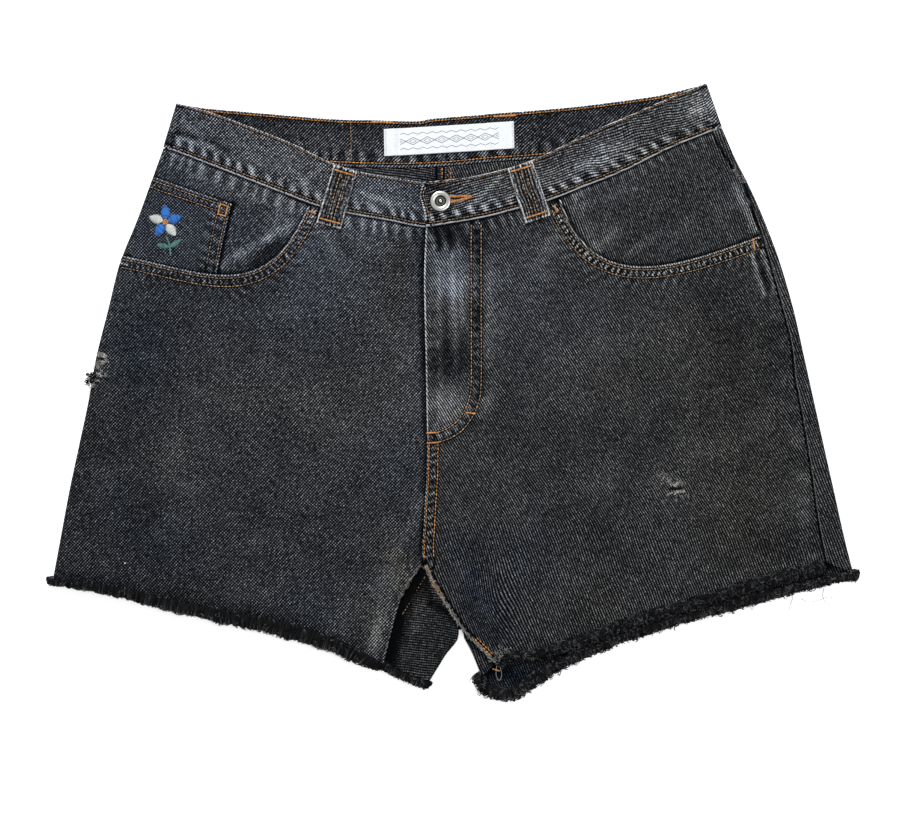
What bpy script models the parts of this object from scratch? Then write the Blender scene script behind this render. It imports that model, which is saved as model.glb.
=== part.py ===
"""Cut-off five-pocket denim shorts laid flat on a surface, front up.

Run with: blender --background --python part.py

Frame: +X to the wearer's left, +Y to the waist, +Z up. The underside rests at z = 0 and the
origin is below the middle of the shorts. Tables and sizes are in millimetres, meshes in metres.
Every piece of cloth is a wall behind a grid of its outer points, 0.3 to 0.9 mm clear of its
neighbours at the seams.
"""
import math

import bmesh
import bpy
import numpy as np

MM = 0.001
MODEL_NAME = "denim_shorts"

# ---- driving dimensions, millimetres
CLOTH = 1.2                 # one layer of denim
BAND_CLOTH = 2.2            # folded waistband
FRONT_BAND_LENGTH = 250.0   # each front band along the waist
LOOP_CLOTH = 1.3            # folded belt loop
BACK_LOOP_CLOTH = 1.0       # belt loop pressed between the back and the floor
POCKET_CLOTH = 1.0          # facing, coin pocket and back pocket
LABEL_CLOTH = 0.8
SEAM_GAP = 0.3
BAND_GAP = 0.7              # between a waistband and the panels sewn to it
CURL_GAP = 0.55             # each edge stops this far from the middle of the side fold
STRIP_GAP = 0.4             # between a cut hem and its frayed strip
HALF_GAP = SEAM_GAP / 2.0
LAY_GAP = 0.5               # between a piece and the panel it lies on
TOP_LEVEL = 5.0             # upper face of the front layer above the floor
FOLD_RADIUS = TOP_LEVEL / 2.0
BAND_RISE = 0.6             # a waistband stands above the panel beside it
BAND_RADIUS = (TOP_LEVEL + BAND_RISE) / 2.0
FLY_STEP = 2.0              # the left front lies on the right one at the fly
FLY_STEP_FROM, FLY_STEP_TO = 14.0, 34.0
FLY_STEP_LOW, FLY_STEP_HIGH = -135.0, -105.0
CROTCH_Y = -142.5           # where the four leg seams meet on the front
FORK_Y = -199.2             # where the outlines of the two legs part
BAND_STEP = 2.7             # the buttonhole end lies on the button end
BAND_STEP_FROM, BAND_STEP_TO = 8.0, 42.0
FACING_DROP = 1.8           # the pocket facing lies below the front at the mouth
FACING_NEAR, FACING_FAR = 6.0, 30.0
SIDE_INSET = 1.9            # pocket pieces end short of the curled side edge
BAND_TOP_LAP = 4.0          # the back waistband's end that lies on top, past its fold
BUTTON_X, BUTTON_Y = -10.4, 157.1
BUTTON_RADIUS = 8.5
SHANK_RADIUS = 3.0
EYELET_RADIUS = 4.0
BUTTONHOLE_END_X, BUTTONHOLE_END_Y = 14.0, 161.0
BUTTONHOLE_SLIT = 0.8
BUTTONHOLE_MOUTH = 25.0     # degrees at which the eye opens into the slit, on each side
LOOP_BOW = 1.3              # a front belt loop stands this much higher in its middle
POCKET_POINT = 0.22         # how far a back pocket's corners draw up from its point
CUT_LOW, CUT_HIGH = -5.0, 25.0  # cutters reach from below the floor to above the cloth
CUT_ABOVE_WAIST = 240.0     # y where a pocket mouth's cutter ends, above the front's upper edge
CUT_PAST_WAIST = 12.0       # that cutter goes on past the mouth's two ends
CUT_PAST_SIDE = {"right": (-14.0, -2.0), "left": (14.0, 5.0)}
RIP_LOW = 2.5               # the rip goes through the front layer and ends above the back one
RIP_X, RIP_Y = 185.0, -80.0
RIP_LENGTH, RIP_WIDTH = 8.4, 4.6
STRAND_PITCH = 6.6
STRAND_ROOM = 4.0           # a shorter stretch of strip carries no yarn
STRIP_WIDTH = 2.2
STRIP_CLOTH = 0.9
STRIP_END = 1.5             # a strip stops short of the seams at both its ends
CORNER_ROOM = 1.0           # a corner of the hem this near a strip's end is left out
YARN_BEND, YARN_SWAY = 0.55, 1.3  # where a yarn bends, as a share of its length, and how far it leans

# ---- outlines, millimetres: columns x, y
BAND_TOP_RIGHT = ((6.0, 175.0), (-19.0, 173.0), (-54.0, 178.0), (-78.0, 182.5), (-103.0, 190.5),
                  (-132.0, 205.0), (-166.0, 218.5), (-202.0, 231.5), (-230.0, 239.2))
BAND_LOW_RIGHT = ((8.0, 137.6), (-22.5, 135.8), (-54.0, 141.5), (-84.0, 146.7), (-111.7, 153.3),
                  (-143.3, 165.0), (-188.3, 182.5), (-214.0, 192.5), (-241.0, 202.8))
BAND_TOP_LEFT = ((-25.0, 173.3), (-10.8, 174.5), (12.5, 177.5), (45.0, 185.0), (66.0, 192.0),
                 (82.5, 199.5), (117.5, 216.5), (152.5, 231.5), (180.0, 243.5), (210.8, 255.6))
BAND_LOW_LEFT = ((-22.5, 136.3), (-10.8, 137.6), (24.2, 143.6), (52.5, 150.8), (78.0, 157.5),
                 (105.8, 168.3), (140.8, 182.2), (176.2, 199.7), (199.6, 209.6), (223.8, 219.0))
BACK_TOP = ((-230.0, 239.2), (-206.0, 235.0), (-176.7, 232.7), (-143.3, 229.8), (-103.3, 226.5),
            (-68.3, 225.3), (-30.8, 224.6), (-14.2, 227.0), (35.8, 230.8), (65.8, 233.3),
            (105.8, 237.0), (152.5, 243.0), (180.0, 247.5), (210.8, 255.6))
BACK_LOW = ((-241.0, 202.8), (-190.0, 194.5), (-143.0, 190.5), (-97.5, 187.5), (-68.3, 186.2),
            (-38.3, 186.0), (-5.0, 187.5), (21.7, 190.0), (65.8, 193.3), (110.0, 198.5),
            (165.0, 207.5), (223.8, 219.0))

# side outlines and the seams that show, from the waist to the hem
SIDE_RIGHT = ((-241.0, 202.8), (-250.5, 176.0), (-262.5, 143.0), (-276.7, 107.5), (-286.7, 68.0),
              (-296.8, 28.0), (-303.0, -7.5), (-311.0, -45.0), (-319.0, -82.5), (-326.0, -120.0),
              (-332.5, -155.0))
SIDE_LEFT = ((223.8, 219.0), (235.0, 192.5), (243.0, 177.0), (253.3, 155.0), (263.5, 130.0),
             (272.5, 105.0), (283.3, 67.5), (291.7, 30.0), (300.0, -7.5), (308.3, -45.0),
             (316.7, -82.5), (325.0, -120.0), (332.6, -150.5))
SEAM_LEFT = ((214.2, 215.0), (226.7, 193.3), (242.0, 171.0), (248.6, 150.8), (257.0, 125.0),
             (270.0, 79.2), (280.0, 40.0), (283.6, 9.2), (288.0, -13.3), (295.8, -60.0),
             (302.5, -106.7), (309.2, -141.7))
RISE_RIGHT = ((-10.8, 137.2), (-10.8, 75.0), (-10.8, 5.0), (-12.0, -50.0), (-19.5, -88.0),
              (-26.0, -115.0), (-26.2, -142.5), (-40.0, -166.0), (-47.0, -185.0), (-57.5, -226.7))
RISE_LEFT = ((-22.5, 136.0), (-24.0, 92.0), (-22.5, 20.0), (-21.5, -57.5), (-24.0, -107.5),
             (-24.2, -142.5), (-9.0, -173.5), (7.8, -199.2), (15.5, -207.5), (34.5, -227.0))
SEAT = ((-5.0, 187.5), (-6.0, 60.0), (-8.0, -20.0), (-6.0, -100.0), (0.0, -160.0), (6.7, -199.2))
INNER_FOLD_RIGHT = ((6.7, -199.2), (-6.5, -221.0), (-19.2, -241.7))
INNER_FOLD_LEFT = ((6.7, -199.2), (14.5, -216.0), (22.5, -235.5))
HEM_FRONT_RIGHT = ((-57.5, -226.7), (-92.0, -208.0), (-143.0, -191.5), (-185.0, -183.3),
                   (-238.0, -172.5), (-281.0, -162.5), (-332.5, -155.0))
HEM_FRONT_LEFT = ((34.5, -227.0), (48.0, -216.5), (69.0, -215.0), (86.0, -209.0), (112.5, -200.5),
                  (156.0, -184.0), (205.0, -170.5), (253.0, -154.5), (309.2, -141.7))
HEM_BACK_RIGHT = ((-19.2, -241.7), (-57.5, -224.7), (-92.0, -206.0), (-143.0, -189.5),
                  (-185.0, -181.3), (-238.0, -170.5), (-281.0, -161.0), (-332.5, -155.0))
HEM_BACK_LEFT = ((22.5, -235.5), (31.0, -245.5), (47.5, -249.0), (64.0, -239.0), (81.0, -227.5),
                 (114.0, -211.7), (147.5, -199.0), (197.5, -184.0), (247.5, -171.0),
                 (281.0, -162.5), (332.6, -150.5))

# pocket mouths: Bezier points from the waist to the side, and the facings' hidden lower edges
MOUTH_RIGHT = ((-120.8, 152.5), (-156.2, 69.1), (-204.8, 99.4), (-276.7, 112.5))
MOUTH_LEFT = ((89.8, 157.5), (116.9, 73.4), (194.0, 106.8), (254.6, 128.3))
FACING_EDGE_RIGHT = ((-108.0, 130.0), (-126.0, 106.0), (-150.0, 88.0), (-185.0, 82.0),
                     (-230.0, 90.0), (-274.4, 112.0))
FACING_EDGE_LEFT = ((78.0, 136.0), (92.0, 108.0), (115.0, 92.0), (150.0, 87.0), (200.0, 96.0),
                    (255.5, 126.0))
COIN_TOP = ((-248.5, 177.6), (-216.0, 166.0), (-183.5, 155.0))
COIN_INNER = ((-183.5, 155.0), (-190.0, 128.0), (-196.5, 99.0))
COIN_LOW_Y = 115.5          # the coin pocket's lowest point at the side
COIN_CLEAR = 0.9            # its lower edge ends above the mouth's edge

# soft ridges and troughs of the front layer: columns x, y at one end, x, y at the other, rise, width
FRONT_FOLDS = (
    (-30.0, -100.0, -88.0, -212.0, 1.3, 12.0),
    (-36.0, -55.0, -110.0, -90.0, 0.8, 13.0),
    (-70.0, 25.0, -160.0, 50.0, 0.5, 16.0),
    (12.0, -70.0, 80.0, -105.0, 0.7, 13.0),
    (60.0, 10.0, 150.0, 42.0, 0.5, 16.0),
    (14.0, -180.0, 52.0, -206.0, 1.3, 11.0),
    (-262.0, 60.0, -292.0, -20.0, 0.7, 16.0),
    (252.0, 104.0, 264.0, 55.0, 0.9, 9.0),
    (-205.0, -60.0, -235.0, -135.0, 0.6, 18.0),
    (180.0, -40.0, 235.0, -130.0, 0.6, 18.0),
    (-130.0, -130.0, -150.0, -185.0, -0.7, 16.0),
    (95.0, -130.0, 110.0, -190.0, -0.7, 16.0),
    (-205.0, 232.0, -212.0, 185.0, 1.1, 42.0),
    (186.0, 250.0, 196.0, 200.0, 1.1, 42.0),
    (-135.0, 108.0, -255.0, 100.0, 0.9, 38.0),
    (105.0, 118.0, 235.0, 112.0, 0.9, 38.0),
    (-280.0, -100.0, -300.0, -150.0, -0.5, 14.0),
    (262.0, -90.0, 285.0, -140.0, -0.5, 14.0),
)

# raised zones of the back layer over the pieces that lie under it: columns centre x, y,
# half width, half height, tilt in degrees
BACK_POCKETS = {"right": (-112.0, 32.0, 70.0, 76.0, 8.0), "left": (106.0, 36.0, 70.0, 76.0, -8.0)}
BACK_LOOPS = {"side_right": (-208.0, 208.5, 9.0, 26.0, -7.0), "back_right": (-60.0, 199.0, 9.0, 26.0, -1.0),
              "back_left": (42.0, 205.0, 9.0, 26.0, 4.0), "side_left": (192.0, 223.5, 9.0, 26.0, 11.0)}
POCKET_MARGIN, LOOP_MARGIN = 21.0, 15.0
ZONE_RISE = 1.4

FRONT_LOOPS = {  # corners x, y: upper outer, upper inner, lower inner, lower outer
    "right": ((-99.0, 187.5), (-79.5, 181.5), (-93.0, 134.0), (-113.5, 139.5)),
    "left": ((45.0, 184.5), (66.0, 190.5), (81.0, 145.5), (59.5, 138.5)),
}
FRINGES = {  # columns shortest and longest yarn past its strip, lowest and highest rise of its tip,
    # and the stretches of strip, which follow the hem's bend
    "front_right": (6.5, 10.5, -0.8, 1.2, ("_inner", "_outer")),
    "front_left": (4.5, 7.5, -0.8, 1.2, ("",)),
    "back_right": (5.5, 9.0, 0.0, 0.9, ("_inner", "_outer")),
    "back_left": (4.5, 7.5, 0.0, 0.9, ("_inner", "_outer")),
}
LABEL_CORNERS = ((-57.5, 217.5), (50.5, 224.0), (51.0, 201.5), (-57.0, 195.0))
LABEL_REACH = 9.0           # the label's rows lie closer together than this

COLOURS = {  # columns red, green, blue, roughness, metallic
    "denim_front": (0.045, 0.048, 0.055, 0.92, 0.0),
    "denim_back": (0.038, 0.040, 0.047, 0.92, 0.0),
    "denim_band": (0.060, 0.062, 0.067, 0.90, 0.0),
    "denim_facing": (0.030, 0.031, 0.036, 0.92, 0.0),
    "frayed_yarn": (0.016, 0.018, 0.024, 0.95, 0.0),
    "nickel": (0.62, 0.61, 0.57, 0.30, 1.0),
    "white_tape": (0.80, 0.82, 0.84, 0.70, 0.0),
}


WRAP_COLUMNS = 9            # columns of a back that turn over the inner leg
SEAT_COLUMN = 0.006         # their spacing on the underside, as a share of the back's width
WRAP_GAP = 0.5              # between a back's wrapped edge and the front beside it
SIDE_SEAM_GAP = 0.7
SEAT_GAP = 0.9              # between the two backs at the seat seam
YOKE_IN, YOKE_OUT = 0.15, 0.075  # depth of the yoke at the seat and at the side, as shares of the back
YOKE_GAP = SEAM_GAP / 370.0  # as a share of the side's length
BACK_FIRST, BACK_LAST = 0.07, 0.975   # the flat columns of a back, as shares of its width
FRONT_LAST = 0.972          # where the right front begins to turn down at the side
BAND_FIRST, BAND_LAST = 0.012, 0.988  # the flat rows of the back band, as shares of its length
BAND_COLUMNS = 5
MOUTH_STEPS = 15
COIN_SHARES = (0.6, 0.68, 0.76, 0.84, 0.92)  # where the coin pocket's edge follows the mouth


# ---- curves and patches

def smooth_line(points, steps=10):
    """A smooth line through a table's points, with the share of its length at each."""
    table = np.array(points, float)
    wide = np.vstack([2 * table[0] - table[1], table, 2 * table[-1] - table[-2]])
    dense = [table[0]]
    for k in range(len(table) - 1):
        a, b, c, d = wide[k:k + 4]
        for step in range(1, steps + 1):
            t = step / steps
            dense.append(0.5 * (2 * b + (c - a) * t + (2 * a - 5 * b + 4 * c - d) * t ** 2
                                + (3 * b - 3 * c + d - a) * t ** 3))
    dense = np.array(dense)
    run = np.concatenate([[0.0], np.cumsum(np.linalg.norm(np.diff(dense, axis=0), axis=1))])
    return dense, run / run[-1]


def on_line(line, share):
    """The point at a share of the line's length."""
    points, run = line
    return np.array([np.interp(share, run, points[:, axis]) for axis in range(2)])


def share_at_y(line, y):
    """The share of the length where a line that runs down Y passes y."""
    points, run = line
    return float(np.interp(-y, -points[:, 1], run))


def share_at_x(line, x):
    """The share of the length where a line that runs along X passes x."""
    points, run = line
    order = np.argsort(points[:, 0])
    return float(np.interp(x, points[order, 0], run[order]))


def shift(points, dx=0.0, dy=0.0):
    return tuple((x + dx, y + dy) for x, y in points)


def bezier(corners, share):
    p = np.array(corners)
    rest = 1.0 - share
    return p[0] * rest ** 3 + 3 * p[1] * share * rest ** 2 + 3 * p[2] * share ** 2 * rest + p[3] * share ** 3


def patch(top, bottom, inner, outer):
    """A flat patch between four lines: u runs from inner to outer, v from top to bottom."""
    def point(u, v):
        upper, lower = on_line(top, u), on_line(bottom, u)
        near, far = on_line(inner, v), on_line(outer, v)
        corners = ((1 - u) * ((1 - v) * on_line(top, 0.0) + v * on_line(bottom, 0.0))
                   + u * ((1 - v) * on_line(top, 1.0) + v * on_line(bottom, 1.0)))
        return (1 - v) * upper + v * lower + (1 - u) * near + u * far - corners
    return point


def spread(first, last, count):
    return [first + (last - first) * k / (count - 1) for k in range(count)]


def ease(x, low, high):
    """0 below low, 1 above high, smooth between."""
    t = min(1.0, max(0.0, (x - low) / (high - low)))
    return t * t * (3.0 - 2.0 * t)


# ---- heights of the layers

def top_height(x, y):
    """Upper face of the front layer above the floor."""
    height = TOP_LEVEL
    for x0, y0, x1, y1, rise, width in FRONT_FOLDS:
        along = ((x - x0) * (x1 - x0) + (y - y0) * (y1 - y0)) / ((x1 - x0) ** 2 + (y1 - y0) ** 2)
        along = min(1.0, max(0.0, along))
        off = math.hypot(x - x0 - along * (x1 - x0), y - y0 - along * (y1 - y0))
        height += rise * math.exp(-(off / width) ** 2)
    return height


def in_zone(x, y, zone, margin):
    cx, cy, half_width, half_height, tilt = zone
    turn = math.radians(tilt)
    across = (x - cx) * math.cos(turn) + (y - cy) * math.sin(turn)
    along = -(x - cx) * math.sin(turn) + (y - cy) * math.cos(turn)
    return abs(across) <= half_width + margin and abs(along) <= half_height + margin


def floor_height(x, y):
    """Lower face of the back layer: on the floor, or over a pocket or loop sewn on it."""
    over_pocket = any(in_zone(x, y, zone, POCKET_MARGIN) for zone in BACK_POCKETS.values())
    over_loop = any(in_zone(x, y, zone, LOOP_MARGIN) for zone in BACK_LOOPS.values())
    return ZONE_RISE if over_pocket or over_loop else 0.0


def front_left_top(x, y):
    step = FLY_STEP * (1.0 - ease(x, FLY_STEP_FROM, FLY_STEP_TO))
    return top_height(x, y) + step * ease(y, FLY_STEP_LOW, FLY_STEP_HIGH)


def band_right_top(x, y):
    return top_height(x, y) + BAND_RISE


def band_left_top(x, y):
    return top_height(x, y) + BAND_RISE + BAND_STEP * (1.0 - ease(x, BAND_STEP_FROM, BAND_STEP_TO))


def mouth_distance(x, y, mouth):
    """Distance from a pocket's mouth line, counted positive towards the waist."""
    line = np.array([bezier(mouth, share) for share in spread(0.0, 1.0, 25)])
    reach = np.hypot(line[:, 0] - x, line[:, 1] - y)
    nearest = int(np.argmin(reach))
    return float(reach[nearest]) * (1.0 if y > line[nearest, 1] else -1.0)


def facing_top(mouth):
    def height(x, y):
        risen = ease(mouth_distance(x, y, mouth), FACING_NEAR, FACING_FAR)
        return top_height(x, y) - FACING_DROP * (1.0 - risen)
    return height


# ---- building

def clear_scene():
    for old in list(bpy.data.objects):
        bpy.data.objects.remove(old, do_unlink=True)
    for name in (MODEL_NAME, "cutters"):
        bpy.context.scene.collection.children.link(bpy.data.collections.new(name))


def finish_of(name):
    if name in bpy.data.materials:
        return bpy.data.materials[name]
    red, green, blue, roughness, metallic = COLOURS[name]
    material = bpy.data.materials.new(name)
    material.use_nodes = True
    shader = material.node_tree.nodes["Principled BSDF"]
    shader.inputs["Base Color"].default_value = (red, green, blue, 1.0)
    shader.inputs["Roughness"].default_value = roughness
    shader.inputs["Metallic"].default_value = metallic
    return material


def add_object(name, mesh, colour, collection=MODEL_NAME):
    made = bpy.data.objects.new(name, mesh)
    bpy.data.collections[collection].objects.link(made)
    if colour:
        material = finish_of(colour).copy()
        material.name = name + "_" + colour
        mesh.materials.append(material)
    return made


def sheet(name, rows, cloth, colour, faces_down=False):
    """A wall of cloth behind rows of outer points; its outer face looks up, or down on request."""
    shape = bmesh.new()
    grid = [[shape.verts.new([value * MM for value in point]) for point in row] for row in rows]
    for upper, lower in zip(grid, grid[1:]):
        for k in range(len(upper) - 1):
            shape.faces.new((upper[k], upper[k + 1], lower[k + 1], lower[k]))
    shape.normal_update()
    middle_row, middle = len(grid) // 2, len(grid[0]) // 2
    looks_down = grid[middle_row][middle].normal.z < 0.0
    if looks_down != faces_down:
        bmesh.ops.reverse_faces(shape, faces=shape.faces)
    mesh = bpy.data.meshes.new(name)
    shape.to_mesh(mesh)
    shape.free()
    made = add_object(name, mesh, colour)
    wall = made.modifiers.new("wall", "SOLIDIFY")
    wall.thickness = cloth * MM
    wall.offset = -1.0
    return made


def lay(point_of, height, us, vs):
    """Rows of a patch's points at a layer's height."""
    rows = []
    for v in vs:
        flat = [point_of(u, v) for u in us]
        rows.append([(x, y, height(x, y)) for x, y in flat])
    return rows


def prism(name, outline, low, high):
    """A hidden cutter: a flat outline pulled up from low to high."""
    shape = bmesh.new()
    base = shape.faces.new([shape.verts.new((x * MM, y * MM, low * MM)) for x, y in outline])
    base.normal_update()
    if base.normal.z > 0.0:
        base.normal_flip()
    pulled = bmesh.ops.extrude_face_region(shape, geom=[base], use_keep_orig=True)
    moved = [item for item in pulled["geom"] if isinstance(item, bmesh.types.BMVert)]
    bmesh.ops.translate(shape, verts=moved, vec=(0.0, 0.0, (high - low) * MM))
    bmesh.ops.recalc_face_normals(shape, faces=shape.faces)
    mesh = bpy.data.meshes.new(name)
    shape.to_mesh(mesh)
    shape.free()
    cutter = add_object(name, mesh, None, "cutters")
    cutter.hide_render = True
    cutter.display_type = "WIRE"
    return cutter


def cut(piece, cutter):
    knife = piece.modifiers.new(cutter.name, "BOOLEAN")
    knife.operation = "DIFFERENCE"
    knife.solver = "EXACT"
    knife.object = cutter


# ---- panels

def curled_edge(edge, outward, end_angle, steps):
    """Points of a side fold seen in section, from the floor up to end_angle."""
    centre = edge - outward * FOLD_RADIUS
    points = []
    for angle in spread(0.0, end_angle, steps):
        flat = centre + outward * FOLD_RADIUS * math.sin(angle)
        points.append((flat[0], flat[1], FOLD_RADIUS * (1.0 - math.cos(angle))))
    return points


CURL_END = math.acos(CURL_GAP / FOLD_RADIUS)


def back_row(point_of, v, us, outer_seam, turn="seat", end=None):
    """One row of a back: inner wrap on top, inner fold, underside, side fold and side wrap.

    turn is "seat" along the seat seam, "fork" where that seam turns over the fold, and "wrap"
    where the row ends on top, at the point end beside the inseam.
    """
    inner, outer = point_of(0.0, v), point_of(1.0, v)
    outward = (outer - inner) / np.linalg.norm(outer - inner)
    row = []
    if turn == "seat":
        for k in range(WRAP_COLUMNS):
            x, y = point_of(SEAT_COLUMN * k, v)
            row.append((x, y, floor_height(x, y)))
    elif turn == "fork":
        row += curled_edge(inner, -outward, CURL_END, WRAP_COLUMNS)[::-1]
    else:
        shoulder = inner + outward * FOLD_RADIUS
        for share in spread(0.0, 1.0, WRAP_COLUMNS - 4)[:-1]:
            x, y = end + (shoulder - end) * share
            row.append((x, y, top_height(x, y)))
        row += curled_edge(inner, -outward, math.pi, 5)[::-1]
    for u in us:
        x, y = point_of(u, v)
        row.append((x, y, floor_height(x, y)))
    if outer_seam is None:
        row += curled_edge(outer, outward, CURL_END, 4)
    else:
        row += curled_edge(outer, outward, math.pi, 5)
        seam = on_line(outer_seam, v)
        shoulder = outer - outward * FOLD_RADIUS
        for share in (0.5, 1.0):
            x, y = shoulder + (seam - shoulder) * share
            row.append((x, y, top_height(x, y)))
    return row


def front_shares(side):
    """Shares of the fronts' rows: one meets the crotch and, on the left, one meets the fork."""
    rise = front_lines(side)[2]
    crotch = share_at_y(rise, CROTCH_Y)
    if side == "right":
        return spread(0.0, crotch, 13) + spread(crotch, 1.0, 5)[1:]
    fork = share_at_y(rise, FORK_Y)
    return spread(0.0, crotch, 13) + spread(crotch, fork, 3)[1:] + spread(fork, 1.0, 4)[1:]


def inner_ends(side):
    """Where the rows of a back past the fork end on top: beside the fronts' own rows."""
    left_rise = front_lines("left")[2]
    left_ends = [on_line(left_rise, share) - (WRAP_GAP, 0.0) for share in front_shares("left")]
    if side == "left":
        return left_ends[-3:]
    right_rise = front_lines("right")[2]
    right_ends = [on_line(right_rise, share) + (WRAP_GAP, 0.0) for share in front_shares("right")]
    return [left_ends[-5], left_ends[-6]] + right_ends[-4:]


def make_back(side):
    """Yoke and back panel of one side, cut from one patch along the yoke seam."""
    right = side == "right"
    fold = INNER_FOLD_RIGHT if right else INNER_FOLD_LEFT
    low = smooth_line(BACK_LOW)
    centre = share_at_x(low, SEAT[0][0])
    waist = [on_line(low, share) - (0.0, BAND_GAP) for share in spread(centre, 0.0 if right else 1.0, 9)]
    inner_points = [np.array(p) for p in SEAT + fold[1:]]
    outer_points = [np.array(p) for p in (SIDE_RIGHT if right else SIDE_LEFT)]
    inner_points[0], outer_points[0] = waist[0], waist[-1]
    points, run = smooth_line(inner_points)
    inner = (points + np.array([-SEAT_GAP if right else SEAT_GAP, 0.0]) / 2.0, run)
    hem = smooth_line(HEM_BACK_RIGHT if right else HEM_BACK_LEFT)
    point_of = patch(smooth_line(waist), hem, inner, smooth_line(outer_points))
    fork = share_at_y(inner, FORK_Y)
    outer_seam = None if right else smooth_line(SEAM_LEFT)
    us = spread(BACK_FIRST, BACK_LAST, 13)

    def seat_row(share, past=0.0):
        """A row at a share of the way from the waist to the yoke seam, or past it to the fork."""
        near, far = YOKE_IN * share, YOKE_OUT * share
        if past:
            near, far = YOKE_IN + (fork - YOKE_IN) * past, YOKE_OUT + (fork - YOKE_OUT) * past
        return sloped_row(point_of, near, far, us, outer_seam)
    sheet("yoke_" + side, [seat_row(share) for share in spread(0.0, 1.0, 4)], CLOTH, "denim_back",
          faces_down=True)
    rows = [seat_row(1.0, past) for past in spread(YOKE_GAP, 1.0, 13)[:-1]]
    rows.append(back_row(point_of, fork, us, outer_seam, "fork"))
    ends = inner_ends(side)
    for v, end in zip(spread(fork, 1.0, len(ends) + 1)[1:], ends):
        rows.append(back_row(point_of, v, us, outer_seam, "wrap", end))
    sheet("back_" + side, rows, CLOTH, "denim_back", faces_down=True)
    return rows


def sloped_row(point_of, near_v, far_v, us, outer_seam):
    """A row that runs from one share of the length at the seat to another at the side."""
    near, far = [back_row(point_of, v, us, outer_seam) for v in (near_v, far_v)]
    first, last = WRAP_COLUMNS, WRAP_COLUMNS + len(us)
    row = []
    for k, (a, b) in enumerate(zip(near, far)):
        t = min(1.0, max(0.0, (k - first) / (last - 1 - first)))
        x, y = a[0] + (b[0] - a[0]) * t, a[1] + (b[1] - a[1]) * t
        row.append((x, y, b[2] if k >= last else floor_height(x, y)))
    return row


def front_lines(side):
    """The four edges of a front panel."""
    right = side == "right"
    low = smooth_line(BAND_LOW_RIGHT if right else BAND_LOW_LEFT)
    first = share_at_x(low, RISE_RIGHT[0][0]) if right else 0.0
    last = 1.0 if right else share_at_x(low, SEAM_LEFT[0][0])
    waist = [on_line(low, share) - (0.0, BAND_GAP) for share in spread(first, last, 12)]
    rise = [np.array(p) for p in (RISE_RIGHT if right else RISE_LEFT)]
    side_points = [np.array(p) for p in (SIDE_RIGHT if right else shift(SEAM_LEFT, -SIDE_SEAM_GAP))]
    rise[0], side_points[0] = waist[0], waist[-1]
    hem = [np.array(p) for p in (HEM_FRONT_RIGHT if right else HEM_FRONT_LEFT)]
    gap = -SEAM_GAP if right else SEAM_GAP
    rise = [p + ((gap, 0.0) if p[1] < -150.0 else (0.0, 0.0)) for p in rise]
    hem[0], hem[-1] = rise[-1], side_points[-1]
    return smooth_line(waist), smooth_line(hem), smooth_line(rise), smooth_line(side_points)


def make_front(side):
    """A front panel from waist to hem, with its pocket mouth cut away."""
    right = side == "right"
    point_of = patch(*front_lines(side))
    height = top_height if right else front_left_top
    vs = front_shares(side)
    us = spread(0.0, FRONT_LAST, 17) if right else spread(0.0, 1.0, 18)
    rows = lay(point_of, height, us, vs)
    if right:
        for row, v in zip(rows, vs):
            edge = point_of(1.0, v)
            across = edge - point_of(0.9, v)
            ends = curled_edge(edge, across / np.linalg.norm(across), CURL_END, 4)
            row += [(x, y, TOP_LEVEL - z) for x, y, z in ends]
    panel = sheet("front_" + side, rows, CLOTH, "denim_front")
    mouth = MOUTH_RIGHT if right else MOUTH_LEFT
    outline = [bezier(mouth, share) for share in spread(0.0, 1.0, MOUTH_STEPS)]
    start, end = outline[0], outline[-1]
    past = end + CUT_PAST_SIDE[side]
    outline = [start + (0.0, CUT_PAST_WAIST)] + outline
    outline += [past, (past[0], CUT_ABOVE_WAIST), (start[0], CUT_ABOVE_WAIST)]
    cut(panel, prism("mouth_" + side, outline, CUT_LOW, CUT_HIGH))
    return rows


def make_facing(side):
    """The pocket facing that shows in the mouth, ending hidden below the mouth's edge."""
    right = side == "right"
    waist_full, _, _, seam = front_lines(side)
    edge = FACING_EDGE_RIGHT if right else FACING_EDGE_LEFT
    mouth = MOUTH_RIGHT if right else MOUTH_LEFT
    first = share_at_x(waist_full, edge[0][0])
    inset = SIDE_INSET if right else SEAM_GAP
    outward = -1.0 if right else 1.0
    waist = [on_line(waist_full, share) for share in spread(first, 1.0, 7)]
    waist[-1] = waist[-1] - (outward * inset, 0.0)
    stop = share_at_y(seam, edge[-1][1])
    side_line = [on_line(seam, stop * share) - (outward * inset, 0.0) for share in spread(0.0, 1.0, 7)]
    lower = [np.array(p) for p in edge[1:-1]] + [side_line[-1]]
    start = np.array([edge[0][0], edge[1][1] + 4.0])
    inner = [waist[0], (waist[0] + start) / 2.0, start]
    point_of = patch(smooth_line(waist), smooth_line([start] + lower), smooth_line(inner),
                     smooth_line(side_line))
    rows = lay(point_of, facing_top(mouth), spread(0.0, 1.0, 10), spread(0.0, 1.0, 8))
    sheet("pocket_facing_" + side, rows, POCKET_CLOTH, "denim_facing")


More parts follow.
